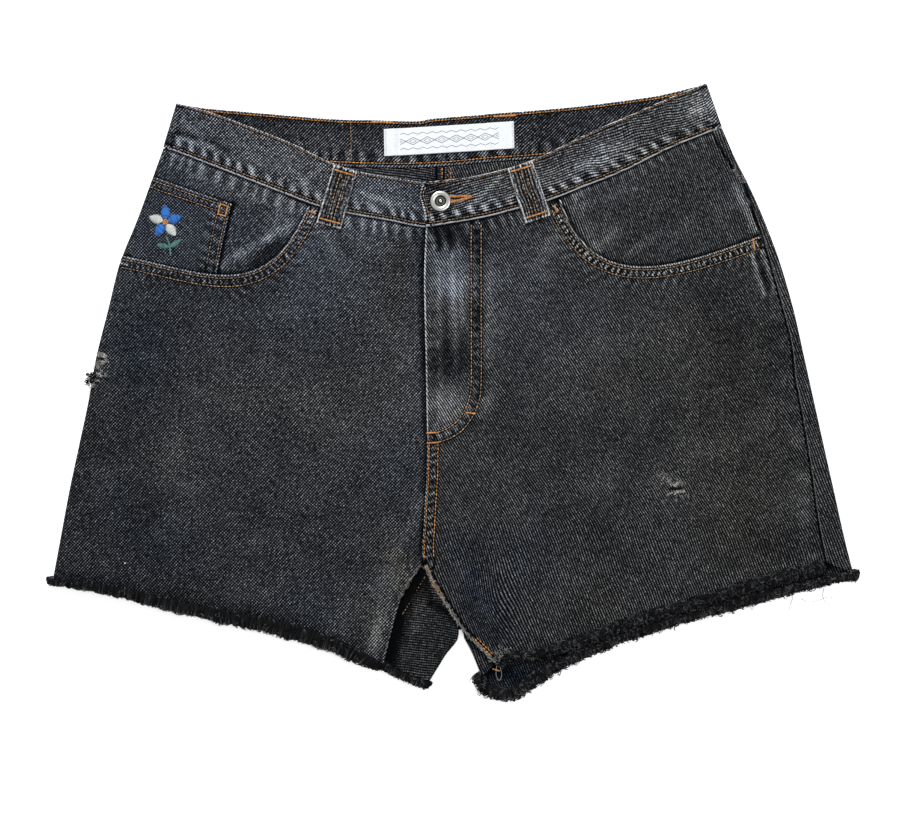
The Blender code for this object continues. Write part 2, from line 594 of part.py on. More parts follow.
def make_coin_pocket():
    """The small pocket on the right facing, which ends at the mouth's edge."""
    facing = facing_top(MOUTH_RIGHT)
    seam = front_lines("right")[3]

    def height(x, y):
        return facing(x, y) + LAY_GAP + POCKET_CLOTH
    start, stop = share_at_y(seam, COIN_TOP[0][1]), share_at_y(seam, COIN_LOW_Y)
    outer = [on_line(seam, share) + (SIDE_INSET, 0.0) for share in spread(start, stop, 5)]
    outer[0] = np.array(COIN_TOP[0])
    bottom = [bezier(MOUTH_RIGHT, share) + (0.0, COIN_CLEAR) for share in COIN_SHARES]
    bottom.append(outer[-1])
    inner_line = [np.array(p) for p in COIN_INNER]
    inner_line[-1] = bottom[0]
    point_of = patch(smooth_line(list(COIN_TOP)[::-1]), smooth_line(bottom), smooth_line(inner_line),
                     smooth_line(outer))
    rows = lay(point_of, height, spread(0.0, 1.0, 8), spread(0.0, 1.0, 7))
    sheet("coin_pocket", rows, POCKET_CLOTH, "denim_back")


# ---- waistband

def strip(top, low, height, shares, across):
    """Rows across a band between its upper and lower lines."""
    rows = []
    for share in shares:
        upper, lower = on_line(top, share), on_line(low, share)
        flat = [upper + (lower - upper) * w for w in spread(0.0, 1.0, across)]
        rows.append([(x, y, height(x, y)) for x, y in flat])
    return rows


def make_waistband():
    """Two front bands on top, and the back band that folds round the sides to meet them."""
    for side, top, low, height in (("right", BAND_TOP_RIGHT, BAND_LOW_RIGHT, band_right_top),
                                   ("left", BAND_TOP_LEFT, BAND_LOW_LEFT, band_left_top)):
        top_line, low_line = smooth_line(top), smooth_line(low)
        last = 1.0 - (BAND_RADIUS + BAND_TOP_LAP + BAND_GAP) / FRONT_BAND_LENGTH
        rows = strip(top_line, low_line, height, spread(0.0, last, 22), BAND_COLUMNS)
        band = sheet("waistband_" + side, rows, BAND_CLOTH, "denim_band")
        if side == "left":
            cut(band, buttonhole())
    top_line, low_line = smooth_line(BACK_TOP), smooth_line(BACK_LOW)
    rows = band_fold(top_line, low_line, 0.0)[::-1]
    rows += strip(top_line, low_line, floor_height, spread(BAND_FIRST, BAND_LAST, 34), BAND_COLUMNS)
    rows += band_fold(top_line, low_line, 1.0)
    sheet("waistband_back", rows, BAND_CLOTH, "denim_band", faces_down=True)


def band_fold(top_line, low_line, end):
    """The rows of the back band round one side, from the floor to the front band's end."""
    upper, lower = on_line(top_line, end), on_line(low_line, end)
    up = (upper - lower) / np.linalg.norm(upper - lower)
    out = np.array([up[1], -up[0]]) * (1.0 if end else -1.0)
    flat = [upper + (lower - upper) * w for w in spread(0.0, 1.0, BAND_COLUMNS)]
    rows = []
    for angle in spread(0.0, math.pi, 7):
        ring = [point - out * BAND_RADIUS * (1.0 - math.sin(angle)) for point in flat]
        rows.append([(x, y, BAND_RADIUS * (1.0 - math.cos(angle))) for x, y in ring])
    last = [point - out * (BAND_RADIUS + BAND_TOP_LAP) for point in flat]
    rows.append([(x, y, band_right_top(x, y)) for x, y in last])
    return rows


def buttonhole():
    """Keyhole cutter: a round eye at the shank and a slit towards the wearer's left."""
    run = np.array([BUTTONHOLE_END_X - BUTTON_X, BUTTONHOLE_END_Y - BUTTON_Y])
    along = run / np.linalg.norm(run)
    aside = np.array([-along[1], along[0]])
    eye = np.array([BUTTON_X, BUTTON_Y])
    outline = []
    for angle in spread(math.radians(BUTTONHOLE_MOUTH), math.radians(360.0 - BUTTONHOLE_MOUTH), 14):
        outline.append(eye + EYELET_RADIUS * (math.cos(angle) * along + math.sin(angle) * aside))
    tip = eye + run
    outline += [tip - aside * BUTTONHOLE_SLIT / 2.0, tip + aside * BUTTONHOLE_SLIT / 2.0]
    return prism("buttonhole", outline, CUT_LOW, CUT_HIGH)


def make_belt_loops():
    """Two front loops on the bands, and four that lie under the back band."""
    for side, corners in FRONT_LOOPS.items():
        height = band_right_top if side == "right" else band_left_top
        upper_outer, upper_inner, lower_inner, lower_outer = [np.array(c) for c in corners]
        rows = []
        for share in spread(0.0, 1.0, 9):
            rise = LAY_GAP + LOOP_CLOTH + LOOP_BOW * math.sin(math.pi * share) ** 0.7
            outer = upper_outer + (lower_outer - upper_outer) * share
            inner = upper_inner + (lower_inner - upper_inner) * share
            flat = [outer + (inner - outer) * w for w in spread(0.0, 1.0, 4)]
            rows.append([(x, y, height(x, y) + rise) for x, y in flat])
        sheet("belt_loop_front_" + side, rows, LOOP_CLOTH, "denim_band")
    for name, zone in BACK_LOOPS.items():
        rows = zone_rows(zone, 5, 3, lambda across, along: along)
        sheet("belt_loop_" + name, rows, BACK_LOOP_CLOTH, "denim_band", faces_down=True)


def zone_rows(zone, down, wide, shape):
    """Rows of a piece that lies on the floor in a zone; shape bends its rows."""
    cx, cy, half_width, half_height, tilt = zone
    turn = math.radians(tilt)
    rows = []
    for along in spread(1.0, -1.0, down):
        row = []
        for across in spread(-1.0, 1.0, wide):
            a, b = across * half_width, shape(across, along) * half_height
            row.append((cx + a * math.cos(turn) - b * math.sin(turn),
                        cy + a * math.sin(turn) + b * math.cos(turn), 0.0))
        rows.append(row)
    return rows


def make_back_pockets():
    """Plain pointed patch pockets, sewn on the outside of the backs and so under them here."""
    def pointed(across, along):
        low = max(0.0, -along)
        return along + POCKET_POINT * low * abs(across)
    for side, zone in BACK_POCKETS.items():
        rows = zone_rows(zone, 7, 7, pointed)
        sheet("back_pocket_" + side, rows, POCKET_CLOTH, "denim_back", faces_down=True)


def make_label():
    """A plain tape sewn inside the back waistband."""
    left_top, right_top, right_low, left_low = [np.array(c) for c in LABEL_CORNERS]
    rows = []
    for share in spread(0.0, 1.0, 14):
        upper = left_top + (right_top - left_top) * share
        lower = left_low + (right_low - left_low) * share
        flat = [upper + (lower - upper) * w for w in spread(0.0, 1.0, 3)]
        rows.append([(x, y, label_height(x, y)) for x, y in flat])
    sheet("label", rows, LABEL_CLOTH, "white_tape")


def label_height(x, y):
    """The tape clears the band between its rows, so it takes the higher floor near a loop."""
    near = max(floor_height(x + reach, y) for reach in (-LABEL_REACH, 0.0, LABEL_REACH))
    return near + BAND_CLOTH + LAY_GAP + LABEL_CLOTH


# ---- button

def make_button():
    """A turned jeans button: ringed head, recessed middle with a nub, and its shank."""
    head = band_left_top(BUTTON_X, BUTTON_Y)
    base = band_right_top(BUTTON_X, BUTTON_Y) + SEAM_GAP - head
    profile = ((0.0, 2.3), (1.2, 2.2), (1.7, 1.3), (4.2, 1.1), (5.0, 1.9), (6.0, 2.3), (7.4, 2.2),
               (BUTTON_RADIUS, 1.5), (8.4, 0.8), (7.4, 0.5), (SHANK_RADIUS, 0.5), (SHANK_RADIUS, base), (0.0, base))
    shape = bmesh.new()
    points = [shape.verts.new((radius * MM, 0.0, height * MM)) for radius, height in profile]
    for a, b in zip(points, points[1:]):
        shape.edges.new((a, b))
    mesh = bpy.data.meshes.new("button")
    shape.to_mesh(mesh)
    shape.free()
    button = add_object("button", mesh, "nickel")
    button.location = (BUTTON_X * MM, BUTTON_Y * MM, head * MM)
    turn = button.modifiers.new("turn", "SCREW")
    turn.steps = turn.render_steps = 22
    turn.use_merge_vertices = True
    turn.merge_threshold = 0.00005
    turn.use_smooth_shade = True


# ---- fringe

def hem_places(run, start, stop):
    """Distances along a hem that keep its corners and split its longer stretches for the yarns."""
    places = []
    for a, b in zip(run, run[1:]):
        pieces = max(1, round((b - a) / STRAND_PITCH))
        places += [a + (b - a) * k / pieces for k in range(pieces)]
    inside = [place for place in places if start + CORNER_ROOM < place < stop - CORNER_ROOM]
    return np.array([start] + inside + [stop])


def make_fringes(place, edge, seed):
    """The frayed strips of one hem, end to end; edge holds the panel's last two rows."""
    rng = np.random.default_rng(seed)
    hem = np.array(edge[1])
    run = np.concatenate([[0.0], np.cumsum(np.linalg.norm(np.diff(hem, axis=0), axis=1))])
    stretches = FRINGES[place][-1]
    ends = spread(STRIP_END, run[-1] - STRIP_END, len(stretches) + 1)
    for stretch, start, stop in zip(stretches, ends, ends[1:]):
        places = hem_places(run, start + HALF_GAP, stop - HALF_GAP)
        make_fringe(place, stretch, run, edge, places, rng)


def make_fringe(place, stretch, run, edge, places, rng):
    """Frayed yarns on a narrow strip along a stretch of a hem."""
    shortest, longest, fall, lift, _ = FRINGES[place]
    before, last = [np.array(row) for row in edge]
    hem = np.array([[np.interp(s, run, last[:, axis]) for axis in range(3)] for s in places])
    inside = np.array([[np.interp(s, run, before[:, axis]) for axis in range(3)] for s in places])
    outward = hem - inside
    outward[:, 2] = 0.0
    tangent = np.gradient(hem, places, axis=0)
    along = np.sum(outward * tangent, axis=1) / np.sum(tangent * tangent, axis=1)
    outward -= tangent * along[:, None]
    outward /= np.linalg.norm(outward, axis=1)[:, None]
    into = np.cross(tangent, outward)
    into /= np.linalg.norm(into, axis=1)[:, None]
    if (into[len(into) // 2, 2] > 0.0) != place.startswith("back"):
        into = -into
    near = hem + outward * STRIP_GAP + into * HALF_GAP
    far = near + outward * STRIP_WIDTH
    shape = bmesh.new()
    rings = []
    for a, b, normal in zip(near, far, into):
        corners = (a, b, b + normal * STRIP_CLOTH, a + normal * STRIP_CLOTH)
        rings.append([shape.verts.new(corner * MM) for corner in corners])
    shape.faces.new(rings[0])
    shape.faces.new(rings[-1][::-1])
    for k, (first, second) in enumerate(zip(rings, rings[1:])):
        roomy = places[k + 1] - places[k] > STRAND_ROOM
        for side in (0, 2, 3) if roomy else range(4):
            nxt = (side + 1) % 4
            shape.faces.new((first[side], second[side], second[nxt], first[nxt]))
        if roomy:
            length, rise = rng.uniform(shortest, longest), rng.uniform(fall, lift)
            add_strand(shape, first, second, outward[k] + outward[k + 1], length, rise, rng)
    bmesh.ops.recalc_face_normals(shape, faces=shape.faces)
    name = "hem_fringe_" + place + stretch
    mesh = bpy.data.meshes.new(name)
    shape.to_mesh(mesh)
    shape.free()
    add_object(name, mesh, "frayed_yarn")


def add_strand(shape, first, second, outward, length, rise, rng):
    """One yarn from the strip's outer face: a four-sided spike with a bend."""
    root = (first[1], second[1], second[2], first[2])
    corners = np.array([vert.co for vert in root]) / MM
    middle = corners.mean(axis=0)
    along = corners[1] - corners[0]
    along /= np.linalg.norm(along)
    out = outward / np.linalg.norm(outward)
    aside = along * rng.uniform(-YARN_SWAY, YARN_SWAY)
    rise = np.array([0.0, 0.0, rise])
    bend = middle + out * length * YARN_BEND + aside * 0.4 + rise * 0.5
    tip = middle + out * length + aside + rise
    ring = [shape.verts.new((bend + (corner - middle) * (0.30, 0.30, 0.8)) * MM) for corner in corners]
    for k in range(4):
        nxt = (k + 1) % 4
        shape.faces.new((root[k], root[nxt], ring[nxt], ring[k]))
    point = shape.verts.new(tip * MM)
    for k in range(4):
        shape.faces.new((ring[k], ring[(k + 1) % 4], point))


def main():
    clear_scene()
    backs = {side: make_back(side) for side in ("right", "left")}
    fronts = {side: make_front(side) for side in ("right", "left")}
    for side in ("right", "left"):
        make_facing(side)
    make_coin_pocket()
    make_waistband()
    make_belt_loops()
    make_back_pockets()
    make_label()
    make_button()
    rip = [(RIP_X + RIP_LENGTH / 2.0 * math.cos(a), RIP_Y + RIP_WIDTH / 2.0 * math.sin(a))
           for a in spread(0.0, 2.0 * math.pi, 9)[:-1]]
    cut(bpy.data.objects["front_left"], prism("rip", rip, RIP_LOW, CUT_HIGH))
    edges = {"front_right": [row[:-4] for row in fronts["right"][-2:]], "front_left": fronts["left"][-2:],
             "back_right": backs["right"][-2:], "back_left": backs["left"][-2:]}
    for seed, (place, edge) in enumerate(edges.items()):
        make_fringes(place, edge, seed)


main()
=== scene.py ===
"""Looks of the cut-off washed-black denim shorts that lie flat, front up.

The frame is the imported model: +X to the wearer's left, +Y to the waist, +Z up from the floor.
Tables and sizes are in millimetres and meshes in metres. Every cloth piece is a thin shell on
the same lines as its solid, with creases, seams, stitches and frayed hems of its own.
"""

import math

import bpy
import numpy as np
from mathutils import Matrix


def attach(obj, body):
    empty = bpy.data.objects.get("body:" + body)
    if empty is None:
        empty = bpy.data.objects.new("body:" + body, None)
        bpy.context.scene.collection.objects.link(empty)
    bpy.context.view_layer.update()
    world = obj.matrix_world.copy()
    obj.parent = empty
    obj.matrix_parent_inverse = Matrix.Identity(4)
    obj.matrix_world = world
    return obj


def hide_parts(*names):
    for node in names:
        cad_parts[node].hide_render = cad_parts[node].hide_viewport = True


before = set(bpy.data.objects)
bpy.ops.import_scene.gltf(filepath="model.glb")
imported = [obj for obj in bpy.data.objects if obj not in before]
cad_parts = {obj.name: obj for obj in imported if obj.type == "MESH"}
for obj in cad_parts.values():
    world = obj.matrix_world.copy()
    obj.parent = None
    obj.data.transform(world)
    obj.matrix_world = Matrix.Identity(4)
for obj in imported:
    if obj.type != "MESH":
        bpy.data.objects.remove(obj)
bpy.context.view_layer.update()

MM = 0.001
TAU = 2 * math.pi
TINY = 1e-9                 # keeps a length of 0 from being divided by

SEED = 7

# ---- sizes that the cloth shares with its solids, millimetres
CLOTH = 1.2
BAND_CLOTH = 2.2
LOOP_CLOTH = 1.3
BACK_LOOP_CLOTH = 1
POCKET_CLOTH = 1
LABEL_CLOTH = 0.8
SEAM_GAP = 0.3
BAND_GAP = 0.7
LAY_GAP = 0.5
TOP_LEVEL = 5               # outer face of the front layer
FOLD_RADIUS = TOP_LEVEL / 2
BAND_RISE = 0.6
BAND_RADIUS = (TOP_LEVEL + BAND_RISE) / 2
FLY_STEP = 2                # the left front lies on the right one at the fly
BAND_STEP = 2.7             # the buttonhole end lies on the button end
FACING_DROP = 1.8
SIDE_INSET = 1.9
SIDE_SEAM_GAP = 0.7
SEAT_GAP = 0.9
WRAP_GAP = 0.5              # between a back's wrapped edge and the front beside it
YOKE_IN, YOKE_OUT = 0.15, 0.075  # depth of the yoke at the seat and at the side, as shares of the back
FRONT_LAST = 0.972          # where the right front begins to turn down at the side
FRONT_BAND_LENGTH = 250
BAND_TOP_LAP = 4            # the back waistband's end that lies on top, past its fold
LOOP_BOW = 1.3
POCKET_POINT = 0.22
ZONE_RISE = 1.4             # the back lies this high over its pockets and loops
ZONE_LAP = 1.5              # and is flat for this far past them
CROTCH_Y = -142.5
FORK_Y = -199.2
BUTTON_X, BUTTON_Y = -10.4, 157.1

# ---- outlines: columns x, y
BAND_TOP_RIGHT = ((6, 175), (-19, 173), (-54, 178), (-78, 182.5), (-103, 190.5), (-132, 205), (-166, 218.5),
                  (-202, 231.5), (-230, 239.2))
BAND_LOW_RIGHT = ((8, 137.6), (-22.5, 135.8), (-54, 141.5), (-84, 146.7), (-111.7, 153.3), (-143.3, 165),
                  (-188.3, 182.5), (-214, 192.5), (-241, 202.8))
BAND_TOP_LEFT = ((-25, 173.3), (-10.8, 174.5), (12.5, 177.5), (45, 185), (66, 192), (82.5, 199.5),
                 (117.5, 216.5), (152.5, 231.5), (180, 243.5), (210.8, 255.6))
BAND_LOW_LEFT = ((-22.5, 136.3), (-10.8, 137.6), (24.2, 143.6), (52.5, 150.8), (78, 157.5), (105.8, 168.3),
                 (140.8, 182.2), (176.2, 199.7), (199.6, 209.6), (223.8, 219))
BACK_TOP = ((-230, 239.2), (-206, 235), (-176.7, 232.7), (-143.3, 229.8), (-103.3, 226.5), (-68.3, 225.3),
            (-30.8, 224.6), (-14.2, 227), (35.8, 230.8), (65.8, 233.3), (105.8, 237), (152.5, 243),
            (180, 247.5), (210.8, 255.6))
BACK_LOW = ((-241, 202.8), (-190, 194.5), (-143, 190.5), (-97.5, 187.5), (-68.3, 186.2), (-38.3, 186),
            (-5, 187.5), (21.7, 190), (65.8, 193.3), (110, 198.5), (165, 207.5), (223.8, 219))
SIDE_RIGHT = ((-241, 202.8), (-250.5, 176), (-262.5, 143), (-276.7, 107.5), (-286.7, 68), (-296.8, 28),
              (-303, -7.5), (-311, -45), (-319, -82.5), (-326, -120), (-332.5, -155))
SIDE_LEFT = ((223.8, 219), (235, 192.5), (243, 177), (253.3, 155), (263.5, 130), (272.5, 105),
             (283.3, 67.5), (291.7, 30), (300, -7.5), (308.3, -45), (316.7, -82.5), (325, -120),
             (332.6, -150.5))
SEAM_LEFT = ((214.2, 215), (226.7, 193.3), (242, 171), (248.6, 150.8), (257, 125), (270, 79.2), (280, 40),
             (283.6, 9.2), (288, -13.3), (295.8, -60), (302.5, -106.7), (309.2, -141.7))
RISE_RIGHT = ((-10.8, 137.2), (-10.8, 75), (-10.8, 5), (-12, -50), (-19.5, -88), (-26, -115),
              (-26.2, -142.5), (-40, -166), (-47, -185), (-57.5, -226.7))
RISE_LEFT = ((-22.5, 136), (-24, 92), (-22.5, 20), (-21.5, -57.5), (-24, -107.5), (-24.2, -142.5),
             (-9, -173.5), (7.8, -199.2), (15.5, -207.5), (34.5, -227))
SEAT = ((-5, 187.5), (-6, 60), (-8, -20), (-6, -100), (0, -160), (6.7, -199.2))
INNER_FOLD_RIGHT = ((6.7, -199.2), (-6.5, -221), (-19.2, -241.7))
INNER_FOLD_LEFT = ((6.7, -199.2), (14.5, -216), (22.5, -235.5))
HEM_FRONT_RIGHT = ((-57.5, -226.7), (-92, -208), (-143, -191.5), (-185, -183.3), (-238, -172.5),
                   (-281, -162.5), (-332.5, -155))
HEM_FRONT_LEFT = ((34.5, -227), (48, -216.5), (69, -215), (86, -209), (112.5, -200.5), (156, -184),
                  (205, -170.5), (253, -154.5), (309.2, -141.7))
HEM_BACK_RIGHT = ((-19.2, -241.7), (-57.5, -224.7), (-92, -206), (-143, -189.5), (-185, -181.3),
                  (-238, -170.5), (-281, -161), (-332.5, -155))
HEM_BACK_LEFT = ((22.5, -235.5), (31, -245.5), (47.5, -249), (64, -239), (81, -227.5), (114, -211.7),
                 (147.5, -199), (197.5, -184), (247.5, -171), (281, -162.5), (332.6, -150.5))
MOUTH_RIGHT = ((-120.8, 152.5), (-156.2, 69.1), (-204.8, 99.4), (-276.7, 112.5))
MOUTH_LEFT = ((89.8, 157.5), (116.9, 73.4), (194, 106.8), (254.6, 128.3))
FACING_EDGE_RIGHT = ((-108, 130), (-126, 106), (-150, 88), (-185, 82), (-230, 90), (-274.4, 112))
FACING_EDGE_LEFT = ((78, 136), (92, 108), (115, 92), (150, 87), (200, 96), (255.5, 126))
COIN_TOP = ((-248.5, 177.6), (-216, 166), (-183.5, 155))
COIN_INNER = ((-183.5, 155), (-190, 128), (-196.5, 99))
COIN_LOW_Y = 115.5
# corners: upper outer, upper inner, lower inner, lower outer
FRONT_LOOPS = {
    "right": ((-99, 187.5), (-79.5, 181.5), (-93, 134), (-113.5, 139.5)),
    "left": ((45, 184.5), (66, 190.5), (81, 145.5), (59.5, 138.5)),
}
LABEL_CORNERS = ((-57.5, 217.5), (50.5, 224), (51, 201.5), (-57, 195))
# zones: x, y, half width, half height, tilt in degrees
BACK_POCKETS = {
    "right": (-112, 32, 70, 76, 8),
    "left": (106, 36, 70, 76, -8),
}
BACK_LOOPS = {
    "side_right": (-208, 208.5, 9, 26, -7),
    "back_right": (-60, 199, 9, 26, -1),
    "back_left": (42, 205, 9, 26, 4),
    "side_left": (192, 223.5, 9, 26, 11),
}

# large soft folds that the solids have too: columns x, y to x, y, rise, width
FRONT_FOLDS = (
    (-30, -100, -88, -212, 1.3, 12), (-36, -55, -110, -90, 0.8, 13), (-70, 25, -160, 50, 0.5, 16),
    (12, -70, 80, -105, 0.7, 13), (60, 10, 150, 42, 0.5, 16), (14, -180, 52, -206, 1.3, 11),
    (-262, 60, -292, -20, 0.7, 16), (252, 104, 264, 55, 0.9, 9), (-205, -60, -235, -135, 0.6, 18),
    (180, -40, 235, -130, 0.6, 18), (-130, -130, -150, -185, -0.7, 16), (95, -130, 110, -190, -0.7, 16),
    (-205, 232, -212, 185, 1.1, 42), (186, 250, 196, 200, 1.1, 42), (-135, 108, -255, 100, 0.9, 38),
    (105, 118, 235, 112, 0.9, 38), (-280, -100, -300, -150, -0.5, 14), (262, -90, 285, -140, -0.5, 14),
)

# finer creases: columns x, y to x, y, rise, width, and how much lighter the line is painted (darker below
# 0): wear on the ridges and painted shade in the hollows and pleats
CREASES = {
    "front": (
        (-25, -92, -64, -168, 0.7, 5, 0.1), (-46, -150, -70, -214, 0.6, 6, 0.1),
        (247.5, 114, 258, 80, 0.9, 1.9, 0.34), (253, 112, 262, 82, -0.6, 2.2, -0.2),
        (256.5, 116, 267, 84, 0.7, 1.8, 0.26), (-13, 133, -11, 118, -0.5, 1.8, -0.26),
        (-17, 132, -15.5, 118, 0.4, 1.8, 0.26), (-3, 134, -1, 119, -0.4, 1.8, -0.2),
        (-7.5, 131, -6, 116, 0.4, 1.6, 0.18), (4, 131, 6, 115, 0.3, 2, 0.18),
        (30, 108, 27, 20, 0.5, 5, 0.12), (-1, 112, 3, 20, 0.4, 2.2, 0.15),
        (-12, 100, -10, -20, 0.4, 1.8, 0.1), (7, 90, 8, 56, 0.3, 1.8, 0.12),
        (-6.5, 84, -5, 30, -0.3, 1.6, -0.12), (-20, 40, -13, 39, 0.3, 1.3, 0.16),
        (-20, 46, -14, 45, 0.3, 1.3, 0.12), (-20, 34, -14, 33.5, -0.3, 1.3, -0.16),
        (-20, 20, -14, 19, -0.3, 1.3, -0.14), (-20, 14, -13, 13.5, 0.3, 1.3, 0.1),
        (5, -146, 30, -186, 0.8, 6, 0.06), (-282, 16, -254, 30, 0.5, 5, 0.05),
        (-120, 148, -96, 112, 0.6, 5, 0.1), (-100, 134, -60, 118, 0.5, 6, 0.06),
        (92, 140, 70, 104, 0.5, 6, 0.08), (150, -120, 192, -150, 0.5, 9, 0.03),
        (-200, 70, -120, 60, 0.4, 8, 0.03),
    ),
    "facing": (
        (-194, 103, -177.5, 112.5, 0.9, 4, 0.18), (-177.5, 112.5, -154, 126, 0.9, 4.4, 0.15),
        (-154, 126, -136, 137, 0.8, 4.4, 0.18), (-164, 106, -146, 122, -0.7, 5, -0.2),
        (-216, 178, -130, 148, 0.5, 5, 0.1), (-140, 158, -152, 128, 0.5, 5, 0.08),
        (120, 118, 136, 132, 0.7, 5, 0.14), (178, 122, 196, 140, 0.6, 6, 0.1),
        (234, 170, 251, 134, 0.8, 3.4, 0.26), (104, 152, 150, 168, 0.4, 5, 0.1),
        (93, 168, 104, 164, 0.3, 6, 0.14), (148, 115, 172, 131, 0.5, 4, 0.13),
        (104, 150, 118, 112, 0.6, 5, 0.08),
    ),
    "band": (
        (-229, 214.5, -213, 209.5, -0.7, 2, -0.28), (-226, 209, -198, 201, 0.8, 2.8, 0.2),
        (-205, 209, -186, 198, -0.5, 2.4, -0.16), (-226, 224, -206, 208, 0.6, 3, 0.1),
        (-136, 186, -112, 160, 0.7, 3, 0.16), (-134, 164, -108, 186, 0.7, 3, 0.14),
        (-76, 164, -52, 154, 0.6, 3, 0.14), (-66, 160, -30, 152, 0.5, 2.4, 0.1),
        (14, 152, 40, 178, 0.7, 2.6, 0.2), (22, 150, 36, 160, 0.6, 2.2, 0.18),
        (-2, 144, 8, 150, 0.5, 2, 0.16), (44, 158, 52, 164, 0.5, 2.2, 0.16),
        (104, 186, 128, 192, 0.6, 4, 0.16), (120, 200, 150, 204, 0.5, 4, 0.12),
        (196, 230, 214, 234, 0.6, 3, 0.14),
    ),
    "back": (
        (-22, -160, -19, -176, 0.5, 3, -0.16), (-19, -176, -6, -183, -0.6, 2.6, -0.26),
        (-6, -183, 7, -197, -0.5, 3, -0.18), (-30, -196, -22, -178, 0.4, 6, 0.08),
        (-44, -176, -30, -205, 0.4, 4, 0.02), (-58, -212, -22, -222, 0.4, 6, 0.03),
    ),
}

# patches of the cloth's colour, some of them painted shade: columns x, y, half width, half height, tilt in
# degrees, fade, tint
# (a tint below 0 is navy, above 0 a dusty brown)
PATCHES = (
    (-285, -96, 46, 60, 0, -0.07, -0.1), (230, 20, 60, 60, 0, -0.03, 0), (-233, -105, 9, 7, 0, 0.1, 0),
    (-165, -124, 10, 6, 30, 0.09, 0), (-228, -48, 22, 14, 70, 0.05, 0), (-284, -90, 14, 22, 0, 0.06, -0.2),
    (-296, -70, 12, 14, 0, 0.05, 0), (-60, -30, 50, 60, 0, 0.05, 0), (-130, 60, 70, 40, 0, 0.03, -0.1),
    (-120, 120, 16, 26, 30, 0.08, -0.25), (-46, 90, 10, 50, 0, 0, 0.3), (60, 10, 100, 150, 0, 0, -0.22),
    (-44, -150, 14, 40, 25, 0.02, 0.55), (-70, -190, 20, 24, 20, 0.03, 0.35),
    (-96, -40, 40, 60, 0, 0.02, 0.1), (-64, -206, 6, 22, -10, 0.16, 0), (-240, 40, 40, 40, 0, -0.04, -0.1),
    (-262, 20, 20, 40, 0, -0.03, -0.3), (-4, 94, 17, 28, 0, 0.23, -0.3), (-4, -15, 16, 17, 0, 0.23, -0.1),
    # (-8, 129) is painted shade in the pleats under the waistband at the fly
    (0, 27, 17, 14, 0, -0.2, -0.2), (-8, 129, 14, 7, 0, -0.26, 0), (14, 122, 10, 9, 0, -0.12, 0),
    (20, 63, 6, 7, 0, -0.24, 0), (29, -6, 7, 16, -20, 0.16, 0), (18, -28, 8, 6, 30, -0.1, 0),
    (-61, 140, 24, 16, 0, 0.12, -0.1), (-240, -140, 70, 34, 0, -0.035, -0.1),
    (-262, -92, 22, 16, 0, -0.05, 0), (90, -90, 30, 26, 0, -0.05, 0), (240, 42, 34, 34, 0, -0.05, 0.1),
    (150, -120, 70, 34, 0, -0.03, 0.1), (-70, -196, 18, 20, 20, -0.07, 0), (212, 238, 22, 26, 25, 0.12, 0),
    (-215, 150, 60, 50, 0, 0, -0.25), (34, 60, 9, 46, 0, 0.07, 0), (12, -150, 16, 30, 20, -0.06, -0.5),
    (30, -190, 22, 24, 20, -0.08, -0.45), (60, -150, 30, 50, 0, 0, -0.35), (60, 80, 60, 60, 0, 0.05, 0),
    (130, 20, 120, 60, 0, 0.02, 0.15), (108, -78, 36, 12, 20, 0.05, 0), (185, -76, 22, 22, 0, 0.06, 0),
    (222, -92, 14, 12, 0, 0.04, 0), (186, 0, 14, 14, 0, 0.03, 0), (240, -60, 40, 90, 0, 0.01, 0.25),
    (292, -110, 6, 30, 8, 0.1, 0), (-142, 196, 60, 10, 20, 0.05, 0), (-100, 160, 30, 14, 20, 0.04, 0),
    # (-14, 168) is painted shade round the button
    (112, 188, 34, 14, 25, 0.1, 0), (200, 236, 14, 12, 25, 0.05, 0), (-14, 168, 12, 10, 0, -0.14, 0),
    (-60, 166, 40, 14, 10, 0.05, -0.1), (-260, 150, 20, 30, 0, -0.02, -0.1),
    # the last patch is painted shade, dark and navy, inside the left leg's opening below the front's frayed
    # hem
    (50, -238, 34, 9, 0, -0.16, -0.8),
)


# ---- lines, patches of cloth and soft noise

def unit(way):
    """Directions of length 1."""
    return way / (np.linalg.norm(way, axis=-1)[..., None] + TINY)


def left_of(way):
    """Unit directions to the left of flat ways."""
    return np.stack([-way[..., 1], way[..., 0]], axis=-1) / (np.linalg.norm(way, axis=-1)[..., None] + TINY)


def raised(xy, z):
    """Flat points with their heights."""
    return np.concatenate([xy, z[..., None]], axis=-1)


def turned(x, y, tilt):
    """x and y along axes that are tilted by degrees."""
    turn = math.radians(tilt)
    return x * math.cos(turn) + y * math.sin(turn), y * math.cos(turn) - x * math.sin(turn)


